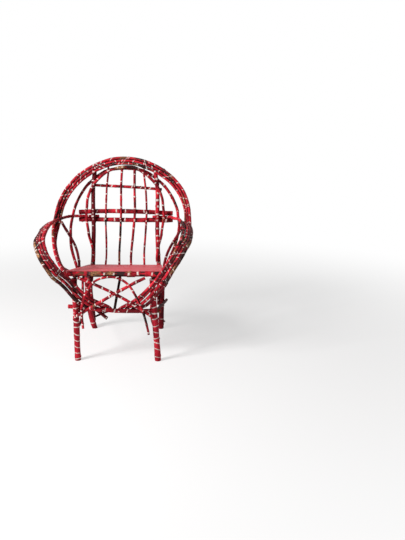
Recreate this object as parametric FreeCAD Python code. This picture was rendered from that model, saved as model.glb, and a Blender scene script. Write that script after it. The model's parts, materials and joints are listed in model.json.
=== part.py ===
import FreeCAD, Part
import math
import os

# Twig armchair: straight sticks carry a boarded seat, bent rods make the back
# and the arms, and every crossing is nailed.
# Frame while building: X to the right seen from the front, Y to the back,
# Z up; X = 0 in the middle, Y = 0 at the front legs, Z = 0 on the floor.
# All lengths in mm, angles in degrees.

# seat
SEAT_FRONT_WIDTH = 412.0
SEAT_BACK_WIDTH = 342.0
SEAT_DEPTH = 411.5
SEAT_FRONT_HEIGHT = 397.0
SEAT_FRONT_Y = -7.0
SEAT_SLOPE = 9.65
BOARD_THICK = 12.0
BOARD_COUNT = 3
LIP_R = 11.0
SIDE_RAIL_R = 9.5
SIDE_RAIL_FRONT_INSET = 42.0
SIDE_RAIL_BACK_INSET = 16.5
BACK_RAIL_R = 9.5
BATTEN_WIDTH = 35.0
BATTEN_THICK = 13.0
BATTEN_INSET = 134.0

# legs
FRONT_FOOT_R = 13.5
FRONT_TOP_R = 12.0
LEFT_FRONT_FOOT_OUT = 2.0
LEFT_FRONT_TOP_OUT = 4.0
RIGHT_FRONT_FOOT_OUT = 15.0
RIGHT_FRONT_TOP_IN = 4.0
BACK_FOOT_R = 13.0
BACK_TOP_R = 11.5
LEFT_BACK_FOOT_OUT = 7.5
RIGHT_BACK_FOOT_OUT = 5.5
LEFT_BACK_KNEE_OUT = 26.5
RIGHT_BACK_KNEE_OUT = 12.5
BACK_FOOT_BEHIND = 41.0
LEFT_BACK_KNEE_BEHIND = 21.0
RIGHT_BACK_KNEE_BEHIND = 16.0
LEFT_BACK_KNEE_SHARE = 0.252
RIGHT_BACK_KNEE_SHARE = 0.378

# back frame
BACK_LEAN = 8.0
BACK_DATUM = 9.0
BACK_RISE = 488.0
BACK_FLARE = 156.0
POST_R = 10.0
POST_TOP_R = 9.0
POST_INSET = 21.0
POST_TAIL_Z = 20.0
POST_TAIL_BEHIND = 63.0
BAND_R = 6.4
BAND_TURN = 45.0
BAND_SWEEP = 102.0
WIDE_HOOP_R = 6.0
WIDE_HOOP_RISE = 432.0
WIDE_HOOP_INSET = 54.0
NARROW_HOOP_R = 5.8
NARROW_HOOP_RISE = 444.0
NARROW_HOOP_OUT = 31.0
TOP_RAIL_R = 6.3
UPPER_RAIL_R = 10.0
LOWER_RAIL_R = 9.8
TOP_RAIL_LEFT_OUT = 6.0
TOP_RAIL_RIGHT_OUT = 20.0
LONG_RAIL_OUT = 71.0
TOP_RAIL_UP = 353.0
UPPER_RAIL_UP = 238.0
LOWER_RAIL_UP = 200.5
SPINDLE_1_R = 3.8
SPINDLE_2_R = 4.5
SPINDLE_3_R = 4.9
SPINDLE_4_R = 4.0

# arms
ARM_R = 6.1
ARM_FOOT_R = 6.9
ARM_RISE = 168.0
ARM_FLARE = 85.0
ARM_BOW = 90.0
ARM_BACK_END = 25.0
ARM_BACK_RISE = 0.8
ARM_RIGHT_SET = 44.0
ARM_TAIL = 66.0
ARM_OVER_ROOM = 2.7
LOOP_R = 5.0
LOOP_BAND_DROP = 22.0
LOOP_HOOP_DROP = 104.0

# understructure
FRONT_RUNG_R = 9.0
FRONT_RUNG_LEFT_SHARE = 0.584
FRONT_RUNG_RIGHT_SHARE = 0.547
FRONT_RUNG_SAG = 9.0
FRONT_RUNG_LEFT_OUT = 36.0
FRONT_RUNG_RIGHT_OUT = 26.0
SIDE_RUNG_R = 6.8
SIDE_RUNG_BACK_SHARE = 0.373
SIDE_RUNG_TAIL = 30.0
CROSS_STICK_R = 6.3
CROSS_STICK_FOOT_SHARE = 0.504
CROSS_STICK_TAIL = 9.0
CROSS_STICK_BOW = 14.0
BRACE_R = 6.0
BRACE_OFFSET = 6.0
FRONT_ARCH_R = 4.8
FRONT_ARCH_INSET = 29.0
FRONT_ARCH_TAIL = 72.0
FRONT_ARCH_ROOM = 1.0
SIDE_ARCH_R = 5.0
SIDE_ARCH_ROOM = 4.0
SIDE_ARCH_FOOT_SHARE = 0.373
SIDE_ARCH_BACK_SHARE = 0.322
BACK_ARCH_R = 4.5
BACK_ARCH_RISE = 38.0
BACK_ARCH_LEFT_UP = 22.0
BACK_ARCH_RIGHT_UP = 10.0
BACK_ARCH_TAIL = 20.0

# fits
NAIL_GAP = 0.15
BOARD_GAP = 0.3
END_GAP = 0.5
STATION_STEP = 52.0
THIN_SIDES = 10
THICK_SIDES = 12
PACE_SHARE = 0.6

LEFT = -1
RIGHT = 1
SIDE_NAMES = {LEFT: "left", RIGHT: "right"}

# Route of the back band's outer rod from the top down: across, up, and how far it
# stands in front of the posts' middle and sweeps forward below them.
BAND_SHARES = (
    (0.000, 1.000, 0.72, 0.00), (0.200, 0.988, 0.82, 0.00), (0.385, 0.950, 0.97, 0.00),
    (0.520, 0.911, 1.03, 0.00), (0.622, 0.870, 1.04, 0.02), (0.738, 0.811, 1.00, 0.09),
    (0.826, 0.750, 1.00, 0.18), (0.893, 0.690, 1.00, 0.30), (0.938, 0.630, 1.00, 0.45),
    (0.970, 0.570, 1.00, 0.60), (0.989, 0.510, 1.00, 0.77), (1.000, 0.440, 1.00, 1.00),
)
# How far the band's three rods turn edge-on at those places.
BAND_TURN_SHARES = (0.00, 0.00, 0.00, 0.00, 0.09, 0.22, 0.38, 0.54, 0.69, 0.82, 0.93, 1.00)
# Lower runs of the band's rods, from the arm to the side of the seat.
BAND_FOOT_SHARES = (
    ((-0.02, 0.14, 0.25), (0.04, 0.25, 0.415), (0.225, 0.46, 0.655), (0.495, 0.68, 0.84), (0.77, 0.855, 0.94)),
    ((-0.063, 0.134, 0.30), (-0.035, 0.247, 0.479), (0.152, 0.437, 0.716), (0.418, 0.64, 0.885), (0.707, 0.82, 0.97)),
    ((-0.127, 0.136, 0.338), (-0.127, 0.26, 0.526), (0.058, 0.448, 0.757), (0.318, 0.63, 0.918), (0.614, 0.82, 0.985)),
)
# Where rods meet the side of the seat, as shares of its depth.
BAND_SEAT_SHARES = (0.036, 0.112, 0.188)
WIDE_HOOP_SEAT_SHARE = 0.54
LOOP_SEAT_SHARE = 0.62

# Hoops from the top down: across and up.
WIDE_HOOP_SHARES = ((0.282, 0.990), (0.385, 0.970), (0.476, 0.940))
WIDE_HOOP_SIDE_SHARES = ((0.714, 0.826), (0.794, 0.766), (0.865, 0.701), (0.925, 0.630), (0.964, 0.570))
WIDE_HOOP_FOOT_SHARES = ((-0.107, 0.052, 0.145), (-0.107, 0.143, 0.255), (-0.018, 0.288, 0.395),
                         (0.196, 0.549, 0.590), (0.643, 0.814, 0.840))
NARROW_HOOP_SHARES = ((0.403, 0.962), (0.541, 0.926), (0.669, 0.878))
NARROW_HOOP_SIDE_SHARES = ((0.912, 0.732), (0.967, 0.664), (0.983, 0.600), (1.000, 0.534), (0.999, 0.468),
                           (0.978, 0.405), (0.950, 0.338), (0.934, 0.282), (0.890, 0.218))
NARROW_HOOP_END_SHARES = (0.825, 0.010)

# Posts from the seat to the top: across and up.
POST_SHARES = ((1.033, 0.000), (1.013, 0.119), (1.000, 0.318), (1.000, 0.707), (0.960, 0.830), (0.935, 0.915))

# Spindles: across at the seat, low down, at the three rails and the wide hoop, then the
# height of the top.
SPINDLE_SHARES = (
    (-0.637, -0.605, -0.625, -0.613, -0.575, -0.520, 0.932),
    (-0.200, -0.185, -0.145, -0.140, -0.133, -0.100, 0.912),
    (0.173, 0.200, 0.280, 0.293, 0.290, 0.300, 0.912),
    (0.593, 0.600, 0.653, 0.660, 0.630, 0.587, 0.925),
)
SPINDLE_LOW_SHARE = 0.170
SPINDLE_FOOT_SHARE = -0.040

# Inner arm rod. Behind the post to the band: shares of the way in x, y and z.
ARM_BACK_SHARES = ((0.39, 0.08, 0.10), (0.78, 0.30, 0.44))
# Past the band to the front of the seat: way out from the seat rod to the full width, way
# to the bow's front, way down to the seat rod. The left arm runs wide at once, the right one swings out later.
ARM_LEFT_RUN_SHARES = ((0.905, 0.170, -0.005), (0.982, 0.300, -0.005), (1.000, 0.445, 0.000))
ARM_RIGHT_RUN_SHARES = ((0.664, 0.100, 0.000), (0.827, 0.270, -0.010), (0.940, 0.445, 0.000))
ARM_BOW_SHARES = (
    (0.975, 0.603, 0.026), (0.957, 0.725, 0.085), (0.905, 0.834, 0.158), (0.819, 0.908, 0.226),
    (0.716, 0.958, 0.330), (0.603, 0.988, 0.442), (0.430, 1.000, 0.584), (0.257, 0.985, 0.742),
    (0.121, 0.930, 0.863),
)
# Seat rod, in front of the legs, to behind the front rung: shares of the way in x, y and z.
ARM_FOOT_SHARES = ((0.230, 0.030, 0.280), (0.490, 0.180, 0.570), (0.760, 0.560, 0.810))
# How the other rods lie beside the inner one: share of its length, direction, spread.
ARM_LAY_SHARES = (
    (0.260, (0.93, 0.00, -0.36), 1.00), (0.370, (0.88, 0.00, -0.47), 1.00), (0.465, (0.86, 0.00, -0.51), 1.00),
    (0.535, (0.92, -0.10, -0.39), 1.00), (0.578, (0.93, -0.20, -0.33), 1.00), (0.626, (0.90, -0.28, -0.36), 1.00),
    (0.670, (0.84, -0.30, -0.46), 1.08), (0.709, (0.80, -0.25, -0.55), 1.20), (0.755, (0.77, -0.10, -0.62), 1.28),
    (0.790, (0.70, 0.02, -0.70), 1.26), (0.837, (0.66, 0.06, -0.74), 1.26), (0.890, (0.62, 0.09, -0.77), 1.22),
    (0.942, (0.63, 0.10, -0.76), 1.20), (1.000, (0.64, 0.10, -0.76), 1.18),
)
ARM_START_SHARES = (0.000, 0.275, 0.285, 0.290)
ARM_LIP_SHARE = 0.850
# Where the arm rods end behind the front rung, as shares of its half length.
ARM_RUNG_SHARES = ((-0.110, -0.250, -0.390, -0.530), (0.060, 0.200, 0.340, 0.480))
ARM_OVER_SHARE = 0.070

LOOP_SHARES = ((0.075, -0.235, 0.175), (0.168, -0.320, 0.277))
LOOP_FOOT_SHARES = ((0.390, 0.240, 0.250), (0.740, 0.520, 0.530), (0.960, 0.800, 0.780))

# Where the front arch crosses the crossed sticks, as shares of its half width.
FRONT_ARCH_CROSS_SHARES = (-0.985, -0.667, 0.515, 0.884)
# Crossed sticks: tops along the seat's front rod, and where one passes over the other.
CROSS_TOP_SHARES = (0.720, 0.645)
CROSS_OVER_SHARE = 0.460
BRACE_SEAT_SHARE = 0.490
ARM_TAIL_DROP_SHARE = 0.75
WIDE_HOOP_POST_SHARE = 0.896
NARROW_HOOP_POST_SHARE = 0.805
NARROW_HOOP_FOOT_SHARE = 0.130
NARROW_HOOP_TOP_SHARE = 0.997
# Rails of the back: height of left end, left crossing, middle, right crossing, right end.
TOP_RAIL_SHARES = (0.028, 0.026, 0.008, -0.024, -0.030)
UPPER_RAIL_SHARES = (-0.008, 0.004, 0.012, -0.014, -0.028)
LOWER_RAIL_SHARES = (0.006, 0.003, -0.004, -0.010, -0.004)


def vec(x, y, z):
    return FreeCAD.Vector(x, y, z)


def unit(v):
    return v * (1.0 / v.Length)


def mix(a, b, share):
    return a + (b - a) * share


def between(a, b, shares):
    """Point whose x, y and z each lie their own share of the way from a to b."""
    return vec(a.x + (b.x - a.x) * shares[0], a.y + (b.y - a.y) * shares[1], a.z + (b.z - a.z) * shares[2])


SLOPE = math.radians(SEAT_SLOPE)
LEAN = math.radians(BACK_LEAN)
SEAT_ALONG = vec(0, math.cos(SLOPE), -math.sin(SLOPE))
SEAT_DOWN = vec(0, -math.sin(SLOPE), -math.cos(SLOPE))
BACK_UP = vec(0, math.sin(LEAN), math.cos(LEAN))
BACK_FRONT = vec(0, -math.cos(LEAN), math.sin(LEAN))


def on_seat(x, along, below):
    """Point at a distance along the seat from its front edge and below its top."""
    return vec(x, SEAT_FRONT_Y, SEAT_FRONT_HEIGHT) + SEAT_ALONG * along + SEAT_DOWN * below


def seat_half(along):
    return (SEAT_FRONT_WIDTH + (SEAT_BACK_WIDTH - SEAT_FRONT_WIDTH) * along / SEAT_DEPTH) / 2


BACK_BASE = on_seat(0, SEAT_DEPTH + NAIL_GAP + POST_R, 0) + BACK_UP * BACK_DATUM

# Widths and heights that follow from the seat.
seat_back_y = on_seat(0, SEAT_DEPTH, 0).y
rail_front_x = SEAT_FRONT_WIDTH / 2 - SIDE_RAIL_FRONT_INSET
rail_back_x = SEAT_BACK_WIDTH / 2 - SIDE_RAIL_BACK_INSET
post_half_span = SEAT_BACK_WIDTH / 2 - POST_INSET
back_half_width = post_half_span + BACK_FLARE
wide_hoop_half = back_half_width - WIDE_HOOP_INSET
narrow_hoop_half = post_half_span + NARROW_HOOP_OUT
arm_half_width = SEAT_FRONT_WIDTH / 2 + ARM_FLARE
arm_height = SEAT_FRONT_HEIGHT + ARM_RISE
bow_front_y = SEAT_FRONT_Y - ARM_BOW


def on_back(across, up, proud):
    """Point of the leaning back: across, up from its base line, proud towards the front."""
    return BACK_BASE + vec(across, 0, 0) + BACK_UP * up + BACK_FRONT * proud


class Stick:
    """A round stick: stations along its middle line, each with its own radius."""

    def __init__(self, name, points, start_r, end_r, sides=THIN_SIDES, start_cut=None, end_cut=None):
        self.name = name
        self.points = points
        self.sides = sides
        self.cuts = {0: start_cut, len(points) - 1: end_cut}
        steps = [0.0]
        for a, b in zip(points, points[1:]):
            steps.append(steps[-1] + (b - a).Length)
        self.shares = [step / steps[-1] for step in steps]
        self.radii = [start_r + (end_r - start_r) * share for share in self.shares]
        STICKS[name] = self

    def at(self, share):
        """Point, direction and radius at a share of the length."""
        for i in range(len(self.points) - 1):
            if share <= self.shares[i + 1] or i == len(self.points) - 2:
                part = (share - self.shares[i]) / (self.shares[i + 1] - self.shares[i])
                point = mix(self.points[i], self.points[i + 1], part)
                radius = self.radii[i] + (self.radii[i + 1] - self.radii[i]) * part
                return point, unit(self.points[i + 1] - self.points[i]), radius

    def where(self, axis, value, last=False):
        """Share of the length at which x, y or z reaches a value."""
        found = []
        for i in range(len(self.points) - 1):
            a = self.points[i][axis]
            b = self.points[i + 1][axis]
            if min(a, b) <= value <= max(a, b) and a != b:
                part = (value - a) / (b - a)
                found.append(self.shares[i] + (self.shares[i + 1] - self.shares[i]) * part)
        if found:
            return found[-1] if last else found[0]
        gaps = [abs(p[axis] - value) for p in self.points]
        return self.shares[gaps.index(min(gaps))]

    def direction(self, i):
        before = self.points[max(i - 1, 0)]
        after = self.points[min(i + 1, len(self.points) - 1)]
        return unit(after - before)

    def solid(self):
        rings = []
        mark = vec(0, 0, 1)
        if abs(self.direction(0).z) > math.cos(math.radians(45)):
            mark = vec(1, 0, 0)
        for i, point in enumerate(self.points):
            ahead = self.direction(i)
            mark = unit(mark - ahead * mark.dot(ahead))
            other = ahead.cross(mark)
            ring = []
            for k in range(self.sides):
                turn = 2 * math.pi * k / self.sides
                spoke = (mark * math.cos(turn) + other * math.sin(turn)) * self.radii[i]
                cut = self.cuts.get(i)
                if cut is not None:
                    spoke = spoke - ahead * (spoke.dot(cut) / ahead.dot(cut))
                ring.append(point + spoke)
            rings.append(Part.makePolygon(ring + [ring[0]]))
        return Part.makeLoft(rings, True, True)


STICKS = {}
SOLIDS = {}


def bend(waypoints):
    """Stations along a smooth curve through the waypoints, no farther apart than the step."""
    pace = [0.0]
    for a, b in zip(waypoints, waypoints[1:]):
        pace.append(pace[-1] + (b - a).Length ** PACE_SHARE)
    if len(waypoints) == 2:
        parts = max(1, math.ceil((waypoints[1] - waypoints[0]).Length / (4 * STATION_STEP)))
        return [mix(waypoints[0], waypoints[1], i / parts) for i in range(parts + 1)]
    curve = Part.BSplineCurve()
    curve.interpolate(Points=waypoints, Parameters=pace)
    stations = []
    for i in range(len(waypoints) - 1):
        parts = max(1, math.ceil((waypoints[i + 1] - waypoints[i]).Length / STATION_STEP))
        for k in range(parts):
            stations.append(curve.value(pace[i] + (pace[i + 1] - pace[i]) * k / parts))
    stations.append(waypoints[-1])
    return stations


def against(neighbour, share, side, own_r, own_way=None):
    """Point at which a stick of radius own_r lies on the neighbour's given side.

    own_way is the rough direction of a stick that crosses at a slant.
    """
    point, ahead, radius = neighbour.at(share)
    if own_way is not None:
        across = unit(ahead.cross(own_way))
        side = across if across.dot(side) > 0 else across * -1
    side = unit(side - ahead * side.dot(ahead))
    return point + side * (radius + own_r + NAIL_GAP)


def seat_side(side, share, own_r):
    """Point beside the seat's edge board, for the end of a rod nailed to it."""
    along = SEAT_DEPTH * share
    return on_seat(side * (seat_half(along) + own_r + NAIL_GAP), along, BOARD_THICK / 2)


def pick(side, left, right):
    return left if side == LEFT else right


def lay_at(share, side):
    """Direction and spread of an arm's rods at a share of the inner rod's length."""
    for (a, lay_a, spread_a), (b, lay_b, spread_b) in zip(ARM_LAY_SHARES, ARM_LAY_SHARES[1:]):
        if share <= b or b == 1.0:
            part = min(max((share - a) / (b - a), 0.0), 1.0)
            lay = mix(vec(*lay_a), vec(*lay_b), part)
            return vec(side * lay.x, lay.y, lay.z), spread_a + (spread_b - spread_a) * part


# Seat: boards across, a round rod along the front, rails and battens underneath.
board_depth = (SEAT_DEPTH - (BOARD_COUNT - 1) * BOARD_GAP) / BOARD_COUNT


def flat_piece(name, corners, thick):
    """A flat piece with its upper face on the four corners."""
    face = Part.Face(Part.makePolygon(corners + [corners[0]]))
    SOLIDS[name] = face.extrude(SEAT_DOWN * thick)


for i, board_name in enumerate(("front", "middle", "back")):
    near = i * (board_depth + BOARD_GAP)
    far = near + board_depth
    board_corners = [on_seat(-seat_half(near), near, 0), on_seat(seat_half(near), near, 0),
                     on_seat(seat_half(far), far, 0), on_seat(-seat_half(far), far, 0)]
    flat_piece("seat_board_" + board_name, board_corners, BOARD_THICK)

lip = Stick("seat_front_rod", [on_seat(x * SEAT_FRONT_WIDTH / 2, -LIP_R - NAIL_GAP, LIP_R) for x in (-1, 1)],
            LIP_R, LIP_R, THICK_SIDES)

under_board = BOARD_THICK + NAIL_GAP
rail_below = under_board + SIDE_RAIL_R
side_rails = {}
for side in (LEFT, RIGHT):
    ends = [on_seat(side * rail_front_x, END_GAP, rail_below),
            on_seat(side * rail_back_x, SEAT_DEPTH - SIDE_RAIL_R / 2, rail_below)]
    side_rails[side] = Stick("seat_rail_" + SIDE_NAMES[side], bend(ends), SIDE_RAIL_R, SIDE_RAIL_R, THICK_SIDES)

back_rail_along = SEAT_DEPTH - BACK_RAIL_R * 1.5
back_rail_half = side_rails[RIGHT].at(0.95)[0].x - SIDE_RAIL_R - END_GAP
back_rail = Stick("seat_rail_back",
                  [on_seat(x * back_rail_half, back_rail_along, under_board + BACK_RAIL_R) for x in (-1, 1)],
                  BACK_RAIL_R, BACK_RAIL_R, THICK_SIDES)

batten_end = back_rail_along - BACK_RAIL_R - END_GAP
for side in (LEFT, RIGHT):
    middle_x = side * (SEAT_FRONT_WIDTH / 2 - BATTEN_INSET)
    inner = middle_x - BATTEN_WIDTH / 2
    outer = middle_x + BATTEN_WIDTH / 2
    batten_corners = [on_seat(inner, END_GAP, under_board), on_seat(outer, END_GAP, under_board),
                      on_seat(outer, batten_end, under_board), on_seat(inner, batten_end, under_board)]
    flat_piece("seat_batten_" + SIDE_NAMES[side], batten_corners, BATTEN_THICK)

# Legs: the front ones carry the side rails, the back ones stand beside them.
floor_cut = vec(0, 0, 1)
front_legs = {}
back_legs = {}
for side in (LEFT, RIGHT):
    foot = vec(side * (rail_front_x + pick(side, LEFT_FRONT_FOOT_OUT, RIGHT_FRONT_FOOT_OUT)), 0, 0)
    top_x = side * (rail_front_x + pick(side, LEFT_FRONT_TOP_OUT, -RIGHT_FRONT_TOP_IN))
    top = on_seat(top_x, 0, rail_below + SIDE_RAIL_R + NAIL_GAP)
    top = top + SEAT_ALONG * (-top.y / SEAT_ALONG.y)
    front_legs[side] = Stick("front_leg_" + SIDE_NAMES[side], bend([foot, top]),
                             FRONT_FOOT_R, FRONT_TOP_R, THICK_SIDES, floor_cut, SEAT_DOWN)
    beside_rail = against(side_rails[side], 0.94, vec(side, 0, 0), BACK_TOP_R + END_GAP)
    run = [
        vec(side * (rail_back_x + pick(side, LEFT_BACK_FOOT_OUT, RIGHT_BACK_FOOT_OUT)),
            seat_back_y + BACK_FOOT_BEHIND, 0),
        vec(side * (rail_back_x + pick(side, LEFT_BACK_KNEE_OUT, RIGHT_BACK_KNEE_OUT)),
            seat_back_y + pick(side, LEFT_BACK_KNEE_BEHIND, RIGHT_BACK_KNEE_BEHIND),
            SEAT_FRONT_HEIGHT * pick(side, LEFT_BACK_KNEE_SHARE, RIGHT_BACK_KNEE_SHARE)),
        beside_rail - SEAT_DOWN * SIDE_RAIL_R,
    ]
    back_legs[side] = Stick("back_leg_" + SIDE_NAMES[side], bend(run),
                            BACK_FOOT_R, BACK_TOP_R, THICK_SIDES, floor_cut, SEAT_DOWN)

# Posts: behind the back legs below the seat, behind the seat's edge above it.
posts = {}
for side in (LEFT, RIGHT):
    behind_leg = against(back_legs[side], 0.66, vec(-side * 0.6, 1, 0), POST_R)
    tail = vec(behind_leg.x, seat_back_y + POST_TAIL_BEHIND, POST_TAIL_Z)
    run = [tail, mix(tail, behind_leg, 0.5), behind_leg]
    run[1] = run[1] + vec(0, POST_R, 0)
    run += [on_back(side * post_half_span * across, BACK_RISE * up, 0) for across, up in POST_SHARES]
    posts[side] = Stick("back_post_" + SIDE_NAMES[side], bend(run), POST_R, POST_TOP_R, THICK_SIDES)


def rail_across(name, up, left_out, right_out, radius, rise_shares):
    """A rail nailed behind both posts, its ends out past them; the shares lift or lower its ends, crossings and middle."""
    rises = [up * share for share in rise_shares]
    crossings = []
    for side, rise in ((LEFT, rises[1]), (RIGHT, rises[3])):
        level = on_back(0, up + rise, 0).z
        crossings.append(against(posts[side], posts[side].where(2, level), BACK_FRONT * -1, radius))
    proud = (crossings[0] - on_back(0, up, 0)).dot(BACK_FRONT)
    run = [on_back(-post_half_span - left_out, up + rises[0], proud), crossings[0], on_back(0, up + rises[2], proud),
           crossings[1], on_back(post_half_span + right_out, up + rises[4], proud)]
    return Stick(name, bend(run), radius, radius)


top_rail = rail_across("back_rail_top", TOP_RAIL_UP, TOP_RAIL_LEFT_OUT, TOP_RAIL_RIGHT_OUT, TOP_RAIL_R,
                       TOP_RAIL_SHARES)
upper_rail = rail_across("back_rail_upper", UPPER_RAIL_UP, LONG_RAIL_OUT, LONG_RAIL_OUT, UPPER_RAIL_R,
                         UPPER_RAIL_SHARES)
lower_rail = rail_across("back_rail_lower", LOWER_RAIL_UP, LONG_RAIL_OUT, LONG_RAIL_OUT, LOWER_RAIL_R,
                         LOWER_RAIL_SHARES)

# Outer band of the back: three rods side by side, turning edge-on towards the arms.
band_pitch = 2 * BAND_R + NAIL_GAP
band_proud = POST_TOP_R + BAND_R + NAIL_GAP


def band_half(side, order):
    """Waypoints of one band rod from the top to the arm; order 0 is the outer rod."""
    outer = [on_back(side * back_half_width * across, BACK_RISE * up, band_proud * lean + BAND_SWEEP * sweep)
             for across, up, lean, sweep in BAND_SHARES]
    middle = on_back(0, BACK_RISE * 0.45, 0)
    run = []
    for i, point in enumerate(outer):
        ahead = unit(outer[min(i + 1, len(outer) - 1)] - outer[max(i - 1, 0)])
        if i == 0:
            ahead = vec(side, 0, 0)
        inward = middle - point
        inward = unit(inward - BACK_FRONT * inward.dot(BACK_FRONT))
        inward = unit(inward - ahead * inward.dot(ahead))
        behind = unit(ahead.cross(inward))
        if behind.dot(BACK_FRONT) > 0:
            behind = behind * -1
        turn = math.radians(BAND_TURN * BAND_TURN_SHARES[i])
        lay = inward * math.cos(turn) + behind * math.sin(turn)
        run.append(point + lay * (order * band_pitch))
    return run


bands = []
for order, name in enumerate(("back_band_outer", "back_band_middle", "back_band_inner")):
    halves = {}
    for side in (LEFT, RIGHT):
        half = band_half(side, order)
        seat_end = seat_side(side, BAND_SEAT_SHARES[order], BAND_R)
        foot = [between(half[-1], seat_end, shares) for shares in BAND_FOOT_SHARES[order]]
        halves[side] = half + foot + [seat_end]
    run = list(reversed(halves[LEFT])) + halves[RIGHT][1:]
    bands.append(Stick(name, bend(run), BAND_R, BAND_R))
band_inner = bands[2]

# Front rung behind the front legs, side rungs from there to the back legs.
rung_points = {}
for side in (LEFT, RIGHT):
    level = SEAT_FRONT_HEIGHT * pick(side, FRONT_RUNG_LEFT_SHARE, FRONT_RUNG_RIGHT_SHARE)
    leg = front_legs[side]
    rung_points[side] = against(leg, leg.where(2, level), vec(0, 1, 0), FRONT_RUNG_R)
rung_line = rung_points[RIGHT] - rung_points[LEFT]
rung_run = [rung_points[LEFT] - rung_line * (FRONT_RUNG_LEFT_OUT / rung_line.x),
            rung_points[LEFT], mix(rung_points[LEFT], rung_points[RIGHT], 0.5) - vec(0, 0, FRONT_RUNG_SAG),
            rung_points[RIGHT],
            rung_points[RIGHT] + rung_line * (FRONT_RUNG_RIGHT_OUT / rung_line.x)]
front_rung = Stick("front_rung", bend(rung_run), FRONT_RUNG_R, FRONT_RUNG_R)

side_rungs = {}
for side in (LEFT, RIGHT):
    leg = front_legs[side]
    level = rung_points[side].z - FRONT_RUNG_R - SIDE_RUNG_R - END_GAP
    start = against(leg, leg.where(2, level), vec(-side * 0.62, 0.78, 0), SIDE_RUNG_R)
    leg = back_legs[side]
    crossing = against(leg, leg.where(2, SEAT_FRONT_HEIGHT * SIDE_RUNG_BACK_SHARE), vec(side, 0, 0), SIDE_RUNG_R)
    end = crossing + unit(crossing - start) * SIDE_RUNG_TAIL
    side_rungs[side] = Stick("side_rung_" + SIDE_NAMES[side], bend([start, crossing, end]), SIDE_RUNG_R, SIDE_RUNG_R)

# Two crossed sticks in front, from the legs to the seat's front rod.
under_lip = vec(0, -0.55, -0.83)
start = against(lip, (1 - CROSS_TOP_SHARES[0]) / 2, under_lip, CROSS_STICK_R)
leg = front_legs[RIGHT]
end = against(leg, leg.where(2, SEAT_FRONT_HEIGHT * CROSS_STICK_FOOT_SHARE), vec(-0.40, -0.90, 0), CROSS_STICK_R)
bowed = mix(start, end, 0.5) + vec(0, 0, CROSS_STICK_BOW)
stick_b = Stick("front_cross_stick_b", bend([start, bowed, end]), CROSS_STICK_R, CROSS_STICK_R)
leg = front_legs[LEFT]
foot = against(leg, leg.where(2, SEAT_FRONT_HEIGHT * CROSS_STICK_FOOT_SHARE), vec(0.05, -1, 0), CROSS_STICK_R)
end = against(lip, (1 + CROSS_TOP_SHARES[1]) / 2, under_lip, CROSS_STICK_R)
over = against(stick_b, CROSS_OVER_SHARE, vec(0, -1, 0), CROSS_STICK_R)
tail = foot + unit(foot - over) * CROSS_STICK_TAIL
stick_a = Stick("front_cross_stick_a", bend([tail, foot, over, end]), CROSS_STICK_R, CROSS_STICK_R)

# Centre brace from behind the front rung up to the boards.
on_rung = front_rung.at(front_rung.where(0, -BRACE_OFFSET))
end = on_seat(BRACE_OFFSET, SEAT_DEPTH * BRACE_SEAT_SHARE, under_board)
start = on_rung[0] + unit(end - on_rung[0]) * (on_rung[2] + NAIL_GAP)
brace = Stick("centre_brace", bend([start, end]), BRACE_R, BRACE_R, THIN_SIDES, None, SEAT_DOWN)

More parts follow.
